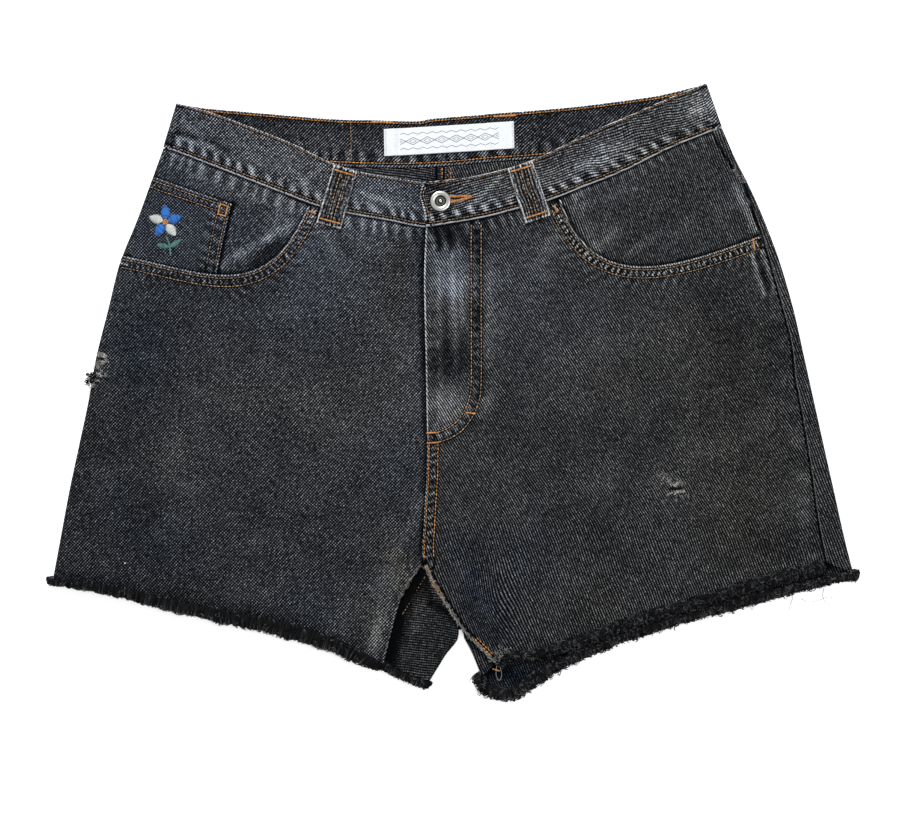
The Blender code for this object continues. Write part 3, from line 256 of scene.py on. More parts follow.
class Line:
    """A smooth line through a table's points, measured along its length."""

    def __init__(self, points, steps=10):
        table = np.array(points, float)
        self.points = table
        if steps > 1:
            wide = np.vstack([2 * table[0] - table[1], table, 2 * table[-1] - table[-2]])
            a, b, c, d = (wide[k:len(wide) - 3 + k, None] for k in range(4))
            t = (np.arange(1, steps + 1) / steps)[None, :, None]
            bend = 0.5 * (2 * b + (c - a) * t + (2 * a - 5 * b + 4 * c - d) * t ** 2
                          + (3 * b - 3 * c + d - a) * t ** 3)
            self.points = np.vstack([table[:1], bend.reshape(-1, table.shape[1])])
        steps_run = np.linalg.norm(np.diff(self.points, axis=0), axis=1)
        self.run = np.concatenate([[0], np.cumsum(steps_run)])
        self.length = float(self.run[-1])

    def at(self, share):
        """Points at shares of the length, of any shape of array."""
        s = np.asarray(share, float) * self.length
        return np.stack([np.interp(s, self.run, axis) for axis in self.points.T], axis=-1)

    def share_at(self, axis, value):
        """The share of the length at which X (axis 0) or Y (axis 1) has a value."""
        order = np.argsort(self.points[:, axis], kind="stable")
        return float(np.interp(value, self.points[order, axis], self.run[order]) / self.length)

    def near(self, points):
        """Signed distance (positive to the left of the way the line runs) and run, for each point."""
        flat = np.asarray(points, float)[..., :2].reshape(-1, 2)
        best = np.full(len(flat), 1e9)
        run = np.zeros(len(flat))
        side = np.ones(len(flat))
        for k in range(len(self.points) - 1):
            a, b = self.points[k, :2], self.points[k + 1, :2]
            way = b - a
            size = float(way @ way) or 1e-9
            offset = flat - a
            t = np.clip(offset @ way / size, 0, 1)
            gap = offset - t[:, None] * way
            reach = np.hypot(gap[:, 0], gap[:, 1])
            closer = reach < best
            best[closer] = reach[closer]
            run[closer] = self.run[k] + t[closer] * math.sqrt(size)
            side[closer] = np.sign(way[0] * offset[closer, 1] - way[1] * offset[closer, 0] + 1e-12)
        shape = np.asarray(points).shape[:-1]
        return (best * side).reshape(shape), run.reshape(shape)

    def offset(self, distance, start=0, stop=1, count=80):
        """A line that runs beside this one, to its left for a positive distance."""
        points = self.at(np.linspace(start, stop, count))[:, :2]
        return Line(points + left_of(np.gradient(points, axis=0)) * distance, steps=1)


def curve(corners, count=60):
    """The Line of a Bezier curve."""
    p = np.array(corners)
    t = np.linspace(0, 1, count)[:, None]
    r = 1 - t
    return Line(p[0] * r ** 3 + 3 * p[1] * t * r ** 2 + 3 * p[2] * t ** 2 * r + p[3] * t ** 3, steps=1)


def patch(top, bottom, inner, outer):
    """A flat patch between four lines: u runs from inner to outer, v from top to bottom."""
    a, b, c, d = top.at(0), bottom.at(0), top.at(1), bottom.at(1)

    def points(u, v):
        u, v = np.broadcast_arrays(np.asarray(u, float), np.asarray(v, float))
        uu, vv = u[..., None], v[..., None]
        corners = (1 - uu) * ((1 - vv) * a + vv * b) + uu * ((1 - vv) * c + vv * d)
        return ((1 - vv) * top.at(u) + vv * bottom.at(u) + (1 - uu) * inner.at(v) + uu * outer.at(v)
                - corners)
    return points


def ease(x, low, high):
    """0 below low, 1 above high, smooth between."""
    t = np.clip((np.asarray(x, float) - low) / (high - low), 0, 1)
    return t * t * (3 - 2 * t)


def window(x, low, high, soft):
    """1 between low and high, 0 outside, with soft ends."""
    return ease(x, low - soft, low + soft) * (1 - ease(x, high - soft, high + soft))


NOISE_CELLS = 64
NOISE_GRIDS = {}
PATCH_MOTTLE, PATCH_GRAIN, PATCH_SEED = 0.35, 9, 5


def cloud(x, y, size, seed):
    """Smooth noise from -1 to 1 whose lumps are about size millimetres across."""
    if seed not in NOISE_GRIDS:
        NOISE_GRIDS[seed] = np.random.default_rng(seed).uniform(-1, 1, (NOISE_CELLS, NOISE_CELLS))
    grid = NOISE_GRIDS[seed]
    gx, gy = np.broadcast_arrays(np.asarray(x, float) / size, np.asarray(y, float) / size)
    ix, iy = np.floor(gx).astype(int), np.floor(gy).astype(int)
    fx, fy = (part * part * (3 - 2 * part) for part in (gx - ix, gy - iy))
    left, right = ix % NOISE_CELLS, (ix + 1) % NOISE_CELLS
    rows = iy % NOISE_CELLS, (iy + 1) % NOISE_CELLS
    low, high = (grid[left, row] * (1 - fx) + grid[right, row] * fx for row in rows)
    return low * (1 - fy) + high * fy


def fold_sum(x, y, folds):
    """The summed rise and fade of a table of folds at each point: worn ridges lighter, painted shade in
    hollows.
    """
    rise, fade = np.zeros(np.shape(x)), np.zeros(np.shape(x))
    for row in folds:
        x0, y0, x1, y1, high, width, lighter = (*row, 0)[:7]
        run_x, run_y = x1 - x0, y1 - y0
        along = np.clip(((x - x0) * run_x + (y - y0) * run_y) / (run_x ** 2 + run_y ** 2), 0, 1)
        off = np.hypot(x - x0 - along * run_x, y - y0 - along * run_y)
        bell = np.exp(-(off / width) ** 2)
        rise += high * bell
        fade += lighter * bell
    return rise, fade


def patch_sum(x, y):
    """The summed fade and tint of the patches at each point; some patches are painted shade."""
    fade, tint = np.zeros(np.shape(x)), np.zeros(np.shape(x))
    mottle = 1 + PATCH_MOTTLE * cloud(x, y, PATCH_GRAIN, PATCH_SEED)
    for cx, cy, half_width, half_height, tilt, lighter, hue in PATCHES:
        a, b = turned(x - cx, y - cy, tilt)
        bell = np.exp(-((a / half_width) ** 2 + (b / half_height) ** 2)) * mottle
        fade += lighter * bell
        tint += hue * bell
    return fade, tint


# ---- heights of the layers, millimetres

def front_level(x, y):
    return TOP_LEVEL + fold_sum(x, y, FRONT_FOLDS)[0] + 0.22 * cloud(x, y, 34, 11)


def front_left_level(x, y):
    return front_level(x, y) + FLY_STEP * (1 - ease(x, 14, 34)) * ease(y, -135, -105)


def band_right_level(x, y):
    return front_level(x, y) + BAND_RISE


def band_left_level(x, y):
    return band_right_level(x, y) + BAND_STEP * (1 - ease(x, 8, 42))


BAND_LEVELS = {"right": band_right_level, "left": band_left_level}


def leg_warp(x, y):
    """How far the ribs of the left front are shifted: they steepen to the hem and bend by the inseam."""
    bend = np.exp(-((x - 34) / 17) ** 2 - ((y + 178) / 34) ** 2)
    return -0.2 * np.maximum(-110 - y, 0) - 6.5 * bend


def facing_level(mouth):
    line = curve(mouth)

    def level(x, y):
        gap = np.abs(line.near(np.stack([x, y], axis=-1))[0])
        return front_level(x, y) - FACING_DROP * (1 - ease(gap, 6, 30))
    return level


def zone_rise(x, y):
    """How far the back is lifted by the pockets and loops that lie under it."""
    rise = np.zeros(np.shape(x))
    for zones, margin in ((BACK_POCKETS, 6), (BACK_LOOPS, 5)):
        for cx, cy, half_width, half_height, tilt in zones.values():
            across, along = turned(x - cx, y - cy, tilt)
            inside = ZONE_RISE
            for place, half in ((across, half_width + ZONE_LAP), (along, half_height + ZONE_LAP)):
                inside = inside * (1 - ease(np.abs(place), half, half + margin))
            rise = np.maximum(rise, inside)
    return rise


def back_level(x, y):
    """Outer face of the back layer, which looks down."""
    return zone_rise(x, y) + 0.12 * (1 + cloud(x, y, 26, 12))


# ---- seams

class Seam:
    """A seam or edge beside which the cloth is raised, puckered, worn, sewn and darkened by painted shade.
    """

    # shade is how much darker the cloth is painted out to shade_width from the seam, as painted shade; a
    # shade below 0 paints worn cloth lighter instead
    LOOKS = {"side": 1, "edge": 0, "edge_width": 1, "rows": (), "ladder": 0, "ladder_period": 4.6,
             "rise": 0, "rise_to": 10, "pucker": 0, "pucker_fade": 0, "period": 12, "skew": 0.6,
             "low": 3, "high": 14, "seed": 1, "round_edge": 0, "shade": 0, "shade_width": 3,
             "zone": None}

    def __init__(self, line, **looks):
        unknown = set(looks) - set(self.LOOKS)
        if unknown:
            raise ValueError(f"a seam has no {unknown}")
        self.line = line
        self.__dict__.update({**self.LOOKS, **looks})

    def gap(self, xy):
        """Distance into the piece and run along the seam, for each point."""
        distance, run = self.line.near(xy)
        return distance * self.side, run

    def shape(self, distance, run):
        """Rise and fade of the cloth at that distance into the piece: puckers lighter on their ridges from
        wear and darker between them as painted shade.
        """
        ragged = cloud(run, 0 * run, 17, self.seed)
        phase = (run + self.skew * distance) / self.period
        phase = phase + 0.45 * cloud(run, distance * 0.3, 21, self.seed + 1)
        wave = np.sin(TAU * phase) * (1 + 0.2 * cloud(run, 0 * run, 30, self.seed + 2))
        zone = window(distance, self.low, self.high, (self.high - self.low) * 0.3)
        rise = self.rise * (1 - ease(distance, self.rise_to - 1, self.rise_to + 1.5)) * (distance > -1)
        rise = rise + self.pucker * wave * zone
        fade = self.pucker_fade * np.maximum(wave, -0.6) * zone * (1 + 0.25 * ragged)
        if self.round_edge:
            near = np.clip(1 - np.maximum(distance, 0) / (self.round_edge * 1.6), 0, 1)
            rise = rise - self.round_edge * (1 - np.sqrt(np.maximum(0, 1 - near ** 2)))
        return rise, fade


FAR = 60                    # a distance at which a seam has no effect


class Surface:
    """A cloth face: its level, the creases of its kind and its seams."""

    def __init__(self, level, kind="front", seams=(), fade=0, tint=0, warp=None):
        self.level, self.kind, self.seams = level, kind, list(seams)
        self.fade, self.tint, self.warp = fade, tint, warp

    def read(self, xy, zone=None, level=None):
        """Height and the values that the material reads, at each point; a zone leaves out the
        seams that belong to another one."""
        x, y = xy[..., 0], xy[..., 1]
        rise, fade = fold_sum(x, y, CREASES[self.kind])
        spots, tint = patch_sum(x, y)
        values = {}
        height = (level or self.level)(x, y) + rise
        fade = fade + spots + self.fade + 0.035 * cloud(x, y, 42, 21) + 0.03 * cloud(x, y, 13, 22)
        for k, seam in enumerate(self.seams):
            distance, run = seam.gap(xy)
            if zone and seam.zone not in (None, zone):
                distance = np.full(np.shape(distance), FAR)
            lift, light = seam.shape(distance, run)
            height = height + lift
            fade = fade + light
            values[f"gap{k}"] = np.clip(distance, -FAR, FAR)
            values[f"run{k}"] = run
        values["warp"] = self.warp(x, y) if self.warp else 0 * x
        values["fade"] = fade
        values["tint"] = tint + self.tint + 0.16 * cloud(x, y, 60, 23)
        return height, values

    def height(self, xy):
        return self.read(np.asarray(xy, float))[0]


# ---- materials

class Field:
    """A number at each shading point, worked out by math nodes."""

    def __init__(self, tree, socket):
        self.tree, self.socket = tree, socket

    def math(self, kind, *others, clamp=False):
        node = self.tree.nodes.new("ShaderNodeMath")
        node.operation, node.use_clamp = kind, clamp
        self.tree.links.new(self.socket, node.inputs[0])
        for slot, other in zip(node.inputs[1:], others):
            if isinstance(other, Field):
                self.tree.links.new(other.socket, slot)
            else:
                slot.default_value = other
        return Field(self.tree, node.outputs[0])

    def __add__(self, other):
        return self.math("ADD", other)

    def __sub__(self, other):
        return self.math("SUBTRACT", other)

    def __mul__(self, other):
        return self.math("MULTIPLY", other)

    def __truediv__(self, number):
        return self * (1 / number)

    def __rsub__(self, other):
        return (self * -1).math("ADD", other)

    def bell(self, middle, width):
        """1 at the middle, falling off over the width on both sides."""
        return ((self - middle) / width).math("POWER", 2).math("MULTIPLY", -1).math("EXPONENT")

    def ramp(self, low, high):
        """0 below low and 1 above high, smooth between; low may be the larger one."""
        node = self.tree.nodes.new("ShaderNodeMapRange")
        node.interpolation_type = "SMOOTHSTEP"
        self.tree.links.new(self.socket, node.inputs["Value"])
        ends = (low, high, 0, 1) if low < high else (high, low, 1, 0)
        for name, value in zip(("From Min", "From Max", "To Min", "To Max"), ends):
            node.inputs[name].default_value = value
        return Field(self.tree, node.outputs["Result"])


class Finish:
    """A material under construction: its shader and the fields that drive it."""

    def __init__(self, name, roughness, **sockets):
        self.material = bpy.data.materials.new(name)
        self.material.use_nodes = True
        self.tree = self.material.node_tree
        self.shader = self.tree.nodes["Principled BSDF"]
        self.set("Roughness", roughness)
        for socket, value in sockets.items():
            self.set(socket.replace("_", " "), value)

    def set(self, socket, value):
        self.shader.inputs[socket].default_value = value

    def node(self, kind, **values):
        node = self.tree.nodes.new(kind)
        for name, value in values.items():
            node.inputs[name].default_value = value
        return node

    def attribute(self, name):
        node = self.tree.nodes.new("ShaderNodeAttribute")
        node.attribute_name = name
        return Field(self.tree, node.outputs["Fac"])

    def place(self):
        """X, Y and Z in the row frame, in millimetres."""
        split = self.tree.nodes.new("ShaderNodeSeparateXYZ")
        self.tree.links.new(self.tree.nodes.new("ShaderNodeTexCoord").outputs["Object"], split.inputs[0])
        return [Field(self.tree, socket) / MM for socket in split.outputs]

    def noise(self, x, y, z=0, detail=0, rough=0.5):
        """Noise from 0 to 1 with a lump for each whole number of x and y."""
        join = self.tree.nodes.new("ShaderNodeCombineXYZ")
        for field, slot in zip((x, y, z), join.inputs):
            if isinstance(field, Field):
                self.tree.links.new(field.socket, slot)
            else:
                slot.default_value = field
        node = self.node("ShaderNodeTexNoise", Scale=1, Detail=detail, Roughness=rough)
        self.tree.links.new(join.outputs[0], node.inputs["Vector"])
        return Field(self.tree, node.outputs["Fac"])

    def colours(self, field, stops):
        """A colour ramp: rows of place, red, green, blue."""
        node = self.tree.nodes.new("ShaderNodeValToRGB")
        ramp = node.color_ramp
        for k, (place, *colour) in enumerate(stops):
            stop = ramp.elements[k] if k < 2 else ramp.elements.new(place)
            stop.position = place
            stop.color = (*colour, 1)
        self.tree.links.new(field.socket, node.inputs["Fac"])
        return node.outputs["Color"]

    def mix(self, share, first, second, kind="MIX"):
        node = self.tree.nodes.new("ShaderNodeMix")
        node.data_type, node.blend_type = "RGBA", kind
        for value, slot in ((share, 0), (first, 6), (second, 7)):
            if isinstance(value, Field):
                self.tree.links.new(value.socket, node.inputs[slot])
            elif isinstance(value, bpy.types.NodeSocket):
                self.tree.links.new(value, node.inputs[slot])
            else:
                node.inputs[slot].default_value = value
        return node.outputs[2]

    def paint(self, colour):
        self.tree.links.new(colour, self.shader.inputs["Base Color"])

    def relief(self, height, strength=1):
        """Bump from a height in millimetres."""
        bump = self.node("ShaderNodeBump", Strength=strength, Distance=MM)
        self.tree.links.new(height.socket, bump.inputs["Height"])
        self.tree.links.new(bump.outputs["Normal"], self.shader.inputs["Normal"])

    def rough(self, field):
        self.tree.links.new(field.socket, self.shader.inputs["Roughness"])


DENIM_STOPS = (  # columns tone, red, green, blue; the tone is fade with the weave and specks
    (0, 0.0008, 0.0009, 0.0013),
    (1, 0.56, 0.565, 0.565),
    (0.2, 0.0051, 0.0055, 0.0064),
    (0.4, 0.0252, 0.0264, 0.0288),
    (0.6, 0.098, 0.101, 0.1055),
    (0.8, 0.282, 0.288, 0.29),
)
BASE_FADE = 0.27            # of cloth that no crease, patch or seam lightens or darkens
# sizes of the noises in the cloth, in millimetres; two numbers are along and across the ribs
DRIFT, BLOTCH, FLECK = 34, 55, 1.25
SLUB, STREAK = (15, 4), (3.6, 1.1)
NAVY, NEUTRAL, DUSTY = (0.62, 0.8, 1.18, 1), (1, 1, 1, 1), (1.18, 1.05, 0.84, 1)


def denim(name, surface, angle, pitch, wave, checks, contrast, grain):
    """Washed twill: diagonal ribs, broken by the weft, over the wear and the painted shade of the surface's
    seams.

    angle is the way that the ribs run, in degrees from +X, pitch the distance between them, wave how far
    they stray, checks the share of the pattern that runs the other way, contrast how far the ribs stand out
    and grain how strong the specks are.
    """
    finish = Finish(name, 0.9, Specular_IOR_Level=0.04)
    x, y, _ = finish.place()
    turn = math.radians(angle)
    along = x * math.cos(turn) + y * math.sin(turn)
    across = y * math.cos(turn) - x * math.sin(turn) + finish.attribute("warp")
    drift = finish.noise(x / DRIFT, y / DRIFT, detail=1)
    slub = finish.noise(along / SLUB[0], across / SLUB[1], 3)
    phase = across / pitch + drift * (wave * 8) + slub * wave
    rib = (phase * TAU).math("SINE")
    weft = ((along / (pitch * 0.95) + drift * wave * 5) * TAU).math("SINE")
    streak = finish.noise(along / STREAK[0], across / STREAK[1], 7, detail=1)
    fleck = finish.noise(x / FLECK, y / FLECK, 11, detail=1)
    blotch = finish.noise(x / BLOTCH, y / BLOTCH, 5, detail=3, rough=0.6)
    weave = rib * (1 - checks) + weft * checks
    fade = finish.attribute("fade") + BASE_FADE + (blotch - 0.5) * 0.12
    height = weave * 0.1 + (streak - 0.5) * 0.14
    for k, seam in enumerate(surface.seams):
        fade, height = seam_fields(finish, k, seam, fade, height)
    tone = fade + weave * contrast + (streak - 0.5) * (grain * 0.7) + (fleck - 0.5) * (grain * 0.7)
    colour = finish.colours(tone, DENIM_STOPS)
    tint = finish.attribute("tint")
    cold = finish.mix(tint.math("MULTIPLY", -1, clamp=True), NEUTRAL, NAVY)
    warm = finish.mix(tint.math("MULTIPLY", 1, clamp=True), NEUTRAL, DUSTY)
    colour = finish.mix(1, colour, cold, "MULTIPLY")
    finish.paint(finish.mix(1, colour, warm, "MULTIPLY"))
    finish.relief(height)
    return finish.material


def seam_fields(finish, k, seam, fade, height):
    """Adds a seam's worn edge, the painted shade beside it, its stitch grooves with painted shade in them
    and the bumps between them.
    """
    if not (seam.edge or seam.rows or seam.shade):
        return fade, height
    gap, run = finish.attribute(f"gap{k}"), finish.attribute(f"run{k}")
    ragged = finish.noise(run / 5, gap * 0.4, seam.seed + 0.5, detail=2)
    if seam.shade:
        # painted shade beside the seam
        fade = fade - gap.math("ABSOLUTE").ramp(seam.shade_width, 0) * (ragged * 0.8 + 0.6) * seam.shade
    if seam.edge:
        worn = gap.math("ABSOLUTE").ramp(seam.edge_width * 1.6, seam.edge_width * 0.55)
        fade = fade + worn * (ragged * 1.2 + 0.4) * seam.edge
    for row in seam.rows:
        groove = gap.bell(row, 1)
        shoulder = gap.bell(row, 2.2) - groove
        height = height - groove * 0.45
        # the groove is painted darker, as painted shade in the stitch holes
        fade = fade - groove * 0.52 + shoulder * (ragged * 0.26 - 0.06)
    if seam.ladder:
        low, high = seam.rows[0], seam.rows[-1]
        wave = ((run / seam.ladder_period + ragged * 1.5 + gap * 0.025) * TAU).math("SINE")
        inside = gap.bell((low + high) / 2, (high - low) * 0.42)
        fade = fade + wave * inside * (ragged * 1.8 - 0.1) * seam.ladder
        height = height + wave * inside * 0.22
    return fade, height


# ---- meshes

def build_mesh(name, points, faces, material, slot, values):
    """A smooth mesh object from points in millimetres, faces of equal size and values at the points."""
    mesh = bpy.data.meshes.new(name)
    mesh.vertices.add(len(points))
    mesh.vertices.foreach_set("co", (np.asarray(points, float) * MM).astype(np.float32).ravel())
    mesh.loops.add(faces.size)
    mesh.loops.foreach_set("vertex_index", faces.astype(np.int32).ravel())
    mesh.polygons.add(len(faces))
    mesh.polygons.foreach_set("loop_start", np.arange(0, faces.size, faces.shape[1], dtype=np.int32))
    mesh.update(calc_edges=True)
    mesh.validate()
    mesh.polygons.foreach_set("use_smooth", np.ones(len(mesh.polygons), bool))
    for key, value in values.items():
        layer = mesh.attributes.new(key, "FLOAT", "POINT")
        layer.data.foreach_set("value", np.asarray(value, np.float32).ravel())
    mesh.materials.append(material)
    made = add_object(name, mesh)
    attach(made, "root")
    return made


def add_object(name, data):
    made = bpy.data.objects.new(name, data)
    bpy.context.scene.collection.objects.link(made)
    return made


START, END = slice(None, -1), slice(1, None)
QUAD_CORNERS = ((START, START), (START, END), (END, END), (END, START))


def grid_faces(rows, columns, keep=None, closed=False):
    """Quads between the points of a grid; a closed one joins its last column to its first."""
    index = np.arange(rows * columns).reshape(rows, columns)
    if closed:
        index = np.concatenate([index, index[:, :1]], axis=1)
    faces = np.stack([index[corner] for corner in QUAD_CORNERS], axis=-1).reshape(-1, 4)
    return faces if keep is None else faces[keep.ravel()]


def trim(xy, line, side):
    """Which quads of a grid of flat points lie on the kept side of a line; the points along
    the cut are moved onto the line, in place."""
    gap = line.near(xy)[0] * side
    keep = sum(gap[corner] for corner in QUAD_CORNERS) > 0
    kept, lost = np.zeros(gap.shape, bool), np.zeros(gap.shape, bool)
    for corner in QUAD_CORNERS:
        kept[corner] |= keep
        lost[corner] |= ~keep
    edge = kept & lost
    _, run = line.near(xy[edge])
    xy[edge] = line.at(run / line.length)[:, :2]
    return keep


RIM_SHARE, RIM_ANGLE = 0.3, 55  # rounding of a shell's rim: share of the cloth and least angle
WELD = 0.25 * MM            # points of a trimmed edge nearer than this are joined


def shell(name, xyz, values, cloth, material, slot, keep=None, faces_down=False, node=None, cut=None):
    """A thin cloth shell behind a grid of outer points; cut, its flat width and length, is not used."""
    rows, columns = xyz.shape[:2]
    faces = grid_faces(rows, columns, keep)
    used = np.unique(faces)
    place = np.zeros(rows * columns, int)
    place[used] = np.arange(len(used))
    points, faces = xyz.reshape(-1, 3)[used], place[faces]
    across = np.cross(points[faces[:, 2]] - points[faces[:, 0]], points[faces[:, 3]] - points[faces[:, 1]])
    if (across[:, 2].sum() < 0) != faces_down:
        faces = faces[:, ::-1]
    values = {key: np.broadcast_to(value, (rows, columns)).ravel()[used] for key, value in values.items()}
    made = build_mesh(name, points, faces, material, slot, values)
    if keep is not None:
        made.modifiers.new("weld", "WELD").merge_threshold = WELD
    wall = made.modifiers.new("wall", "SOLIDIFY")
    wall.thickness, wall.offset = cloth * MM, -1
    soft = made.modifiers.new("soft_rim", "BEVEL")
    soft.width, soft.segments = cloth * RIM_SHARE * MM, 2
    soft.limit_method, soft.angle_limit = "ANGLE", math.radians(RIM_ANGLE)
    if node:
        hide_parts(node)
    if cut:
        cut[0] * MM
        cut[1] * MM


def panel(name, xy, surface, cloth, slot, node, cut, weave, keep=None, **placed):
    """A panel: its flat grid, raised to its surface and given its denim."""
    height, values = surface.read(xy)
    material = denim(name + "_denim", surface, *weave)
    shell(name, raised(xy, height), values, cloth, material, slot, keep, node=node, cut=cut, **placed)


def spread(points, wide, down):
    """A grid of points of a patch, given by its counts across and down."""
    return points(np.linspace(0, 1, wide)[None, :], np.linspace(0, 1, down)[:, None])


class Bundle:
    """Many small closed shapes that are joined into one piece."""

    def __init__(self):
        self.points, self.faces, self.tones, self.count = [], [], [], 0

    def add(self, points, faces, tone):
        """points: shapes, points of one, 3; faces: the faces of one; tone: one for each shape or point."""
        shapes, size = points.shape[:2]
        starts = self.count + np.arange(shapes) * size
        self.points.append(points.reshape(-1, 3))
        self.faces.append((faces[None] + starts[:, None, None]).reshape(-1, faces.shape[1]))
        tone = np.asarray(tone, float)
        self.tones.append(np.broadcast_to(tone.reshape(shapes, -1), (shapes, size)).ravel())
        self.count += shapes * size

    def build(self, name, material, slot):
        points, tones = np.concatenate(self.points), np.concatenate(self.tones)
        return build_mesh(name, points, np.concatenate(self.faces), material, slot, {"tone": tones})


def tube_faces(rings, sides):
    """Triangles of a tube with closed ends, whose rings are numbered one after another."""
    wall = grid_faces(rings, sides, closed=True)[:, (0, 1, 2, 0, 2, 3)].reshape(-1, 3)
    last = (rings - 1) * sides
    ends = [face for k in range(1, sides - 1) for face in ((0, k + 1, k), (last, last + k, last + k + 1))]
    return np.concatenate([wall, ends])


STEEP = 0.9                 # a path that climbs more than this share is turned about another axis


def tubes(paths, radii, sides=3):
    """Tube points round many paths of equal length: paths n, rings, 3 and radii n, rings."""
    way = unit(np.gradient(paths, axis=1))
    up = np.where(np.abs(way[..., 2:3]) > STEEP, (1, 0, 0), (0, 0, 1))
    aside = unit(np.cross(way, up))
    above = np.cross(aside, way)
    turn = np.arange(sides) * TAU / sides
    ring = np.cos(turn)[:, None] * aside[:, :, None] + np.sin(turn)[:, None] * above[:, :, None]
    return (paths[:, :, None] + ring * radii[:, :, None, None]).reshape(len(paths), -1, 3)


STITCH_RINGS = np.array((-0.5, -0.32, 0, 0.32, 0.5))
STITCH_GIRTH = np.array((0.3, 0.85, 1, 0.85, 0.3))
STITCH_SINK = np.array((-1.1, -0.25, 0.1, -0.25, -1.1))
STITCH_SIDES = 5


def stitches(bundle, starts, ends, height, rng, radius=0.42, lift=0.15, facing=1, tone=(0.1, 1)):
    """Short raised threads between pairs of flat points on a surface."""
    way = ends - starts
    flat = starts[:, None] + way[:, None] * (STITCH_RINGS[None, :, None] + 0.5)
    z = height(flat) + facing * (lift + radius * STITCH_SINK[None])
    radii = radius * STITCH_GIRTH[None] * rng.uniform(0.85, 1.12, (len(starts), 1))
    bundle.add(tubes(raised(flat, z), radii, STITCH_SIDES), tube_faces(len(STITCH_RINGS), STITCH_SIDES),
               rng.uniform(*tone, len(starts)))


WOBBLE = 0.12               # how far a stitch strays from its place


def stitch_row(bundle, line, height, rng, start=0, stop=1, pitch=3.1, length=2.75, **looks):
    """A row of topstitching along a line."""
    first, last = start * line.length, stop * line.length
    count = max(1, int((last - first) / pitch))
    place = first + (np.arange(count) + 0.5) * (last - first) / count + rng.uniform(-WOBBLE, WOBBLE, count)
    a, b = (line.at((place + end * length) / line.length)[:, :2] for end in (-0.5, 0.5))
    shift = left_of(b - a) * rng.uniform(-WOBBLE, WOBBLE, count)[:, None]
    stitches(bundle, a + shift, b + shift, height, rng, **looks)


def satin(bundle, spine, widths, height, rng, pitch=0.55, radius=0.3, **looks):
    """Threads laid side by side across a spine; widths is a number or a function of the share."""
    count = max(2, int(spine.length / pitch))
    share = np.linspace(0, 1, count)
    centre = spine.at(share)[:, :2]
    way = np.gradient(centre, axis=0)
    wide = widths(share) if callable(widths) else np.full(count, float(widths))
    half = left_of(way) * (wide * rng.uniform(0.9, 1.06, count) / 2)[:, None]
    slant = unit(way) * (pitch * 0.3)
    stitches(bundle, centre - half - slant, centre + half + slant, height, rng, radius=radius, **looks)


def bartack(bundle, first, last, height, rng, width=1.5, **looks):
    satin(bundle, Line([first, last], steps=1), width, height, rng, pitch=0.5, lift=0.4, **looks)


# ---- the lines of the pieces

BAND_TOP = {"right": Line(BAND_TOP_RIGHT), "left": Line(BAND_TOP_LEFT)}
BAND_LOW = {"right": Line(BAND_LOW_RIGHT), "left": Line(BAND_LOW_LEFT)}
BACK_BAND_TOP, BACK_BAND_LOW, SIDE_SEAM = Line(BACK_TOP), Line(BACK_LOW), Line(SEAM_LEFT)


def front_lines(side):
    """The four edges of a front panel: waist, hem, rise and side."""
    right = side == "right"
    low = BAND_LOW[side]
    first = low.share_at(0, RISE_RIGHT[0][0]) if right else 0
    last = 1 if right else low.share_at(0, SEAM_LEFT[0][0])
    waist = low.at(np.linspace(first, last, 12)) - (0, BAND_GAP)
    rise = np.array(RISE_RIGHT if right else RISE_LEFT)
    sides = np.array(SIDE_RIGHT) if right else np.array(SEAM_LEFT) - (SIDE_SEAM_GAP, 0)
    rise[0], sides[0] = waist[0], waist[-1]
    hem = np.array(HEM_FRONT_RIGHT if right else HEM_FRONT_LEFT)
    rise[rise[:, 1] < -150, 0] += -SEAM_GAP if right else SEAM_GAP
    hem[0], hem[-1] = rise[-1], sides[-1]
    return Line(waist), Line(hem), Line(rise), Line(sides)


def back_lines(side):
    """The four edges of a back with its yoke: waist, hem, seat and inner fold, and side fold."""
    right = side == "right"
    centre = BACK_BAND_LOW.share_at(0, SEAT[0][0])
    waist = BACK_BAND_LOW.at(np.linspace(centre, 0 if right else 1, 9)) - (0, BAND_GAP)
    inner = np.array(SEAT + (INNER_FOLD_RIGHT if right else INNER_FOLD_LEFT)[1:])
    outer = np.array(SIDE_RIGHT if right else SIDE_LEFT)
    inner[0], outer[0] = waist[0], waist[-1]
    seat = Line(inner)
    seat.points = seat.points + (-SEAT_GAP / 2 if right else SEAT_GAP / 2, 0)
    return Line(waist), Line(HEM_BACK_RIGHT if right else HEM_BACK_LEFT), seat, Line(outer)


def between(line, high, low):
    """The stretch of a line that runs down Y from high to low."""
    return Line([point for point in line.points if low <= point[1] <= high], steps=1)


SIDES = ("right", "left")
FRONT = {side: front_lines(side) for side in SIDES}
BACK = {side: back_lines(side) for side in SIDES}
RISE = {side: FRONT[side][2] for side in SIDES}
MOUTH = {"right": curve(MOUTH_RIGHT), "left": curve(MOUTH_LEFT)}
FLY_EDGE = between(RISE["left"], 140, -38)
CROTCH = between(RISE["left"], -38, -144)
INSEAM = {side: between(RISE[side], -143, -240) for side in SIDES}
FLY_J = Line(((23.3, 138), (23.3, 70), (23.3, 8), (21.2, -9.2), (15, -23.3), (5, -35),
              (-8.3, -41.7), (-21.5, -43.6)))
J_WIDTH = 8.2               # between the fly's two rows of stitches
BUTTON_END = Line([BAND_TOP_LEFT[0], (-29, 163.3), (-25.5, 150), BAND_LOW_LEFT[0]])


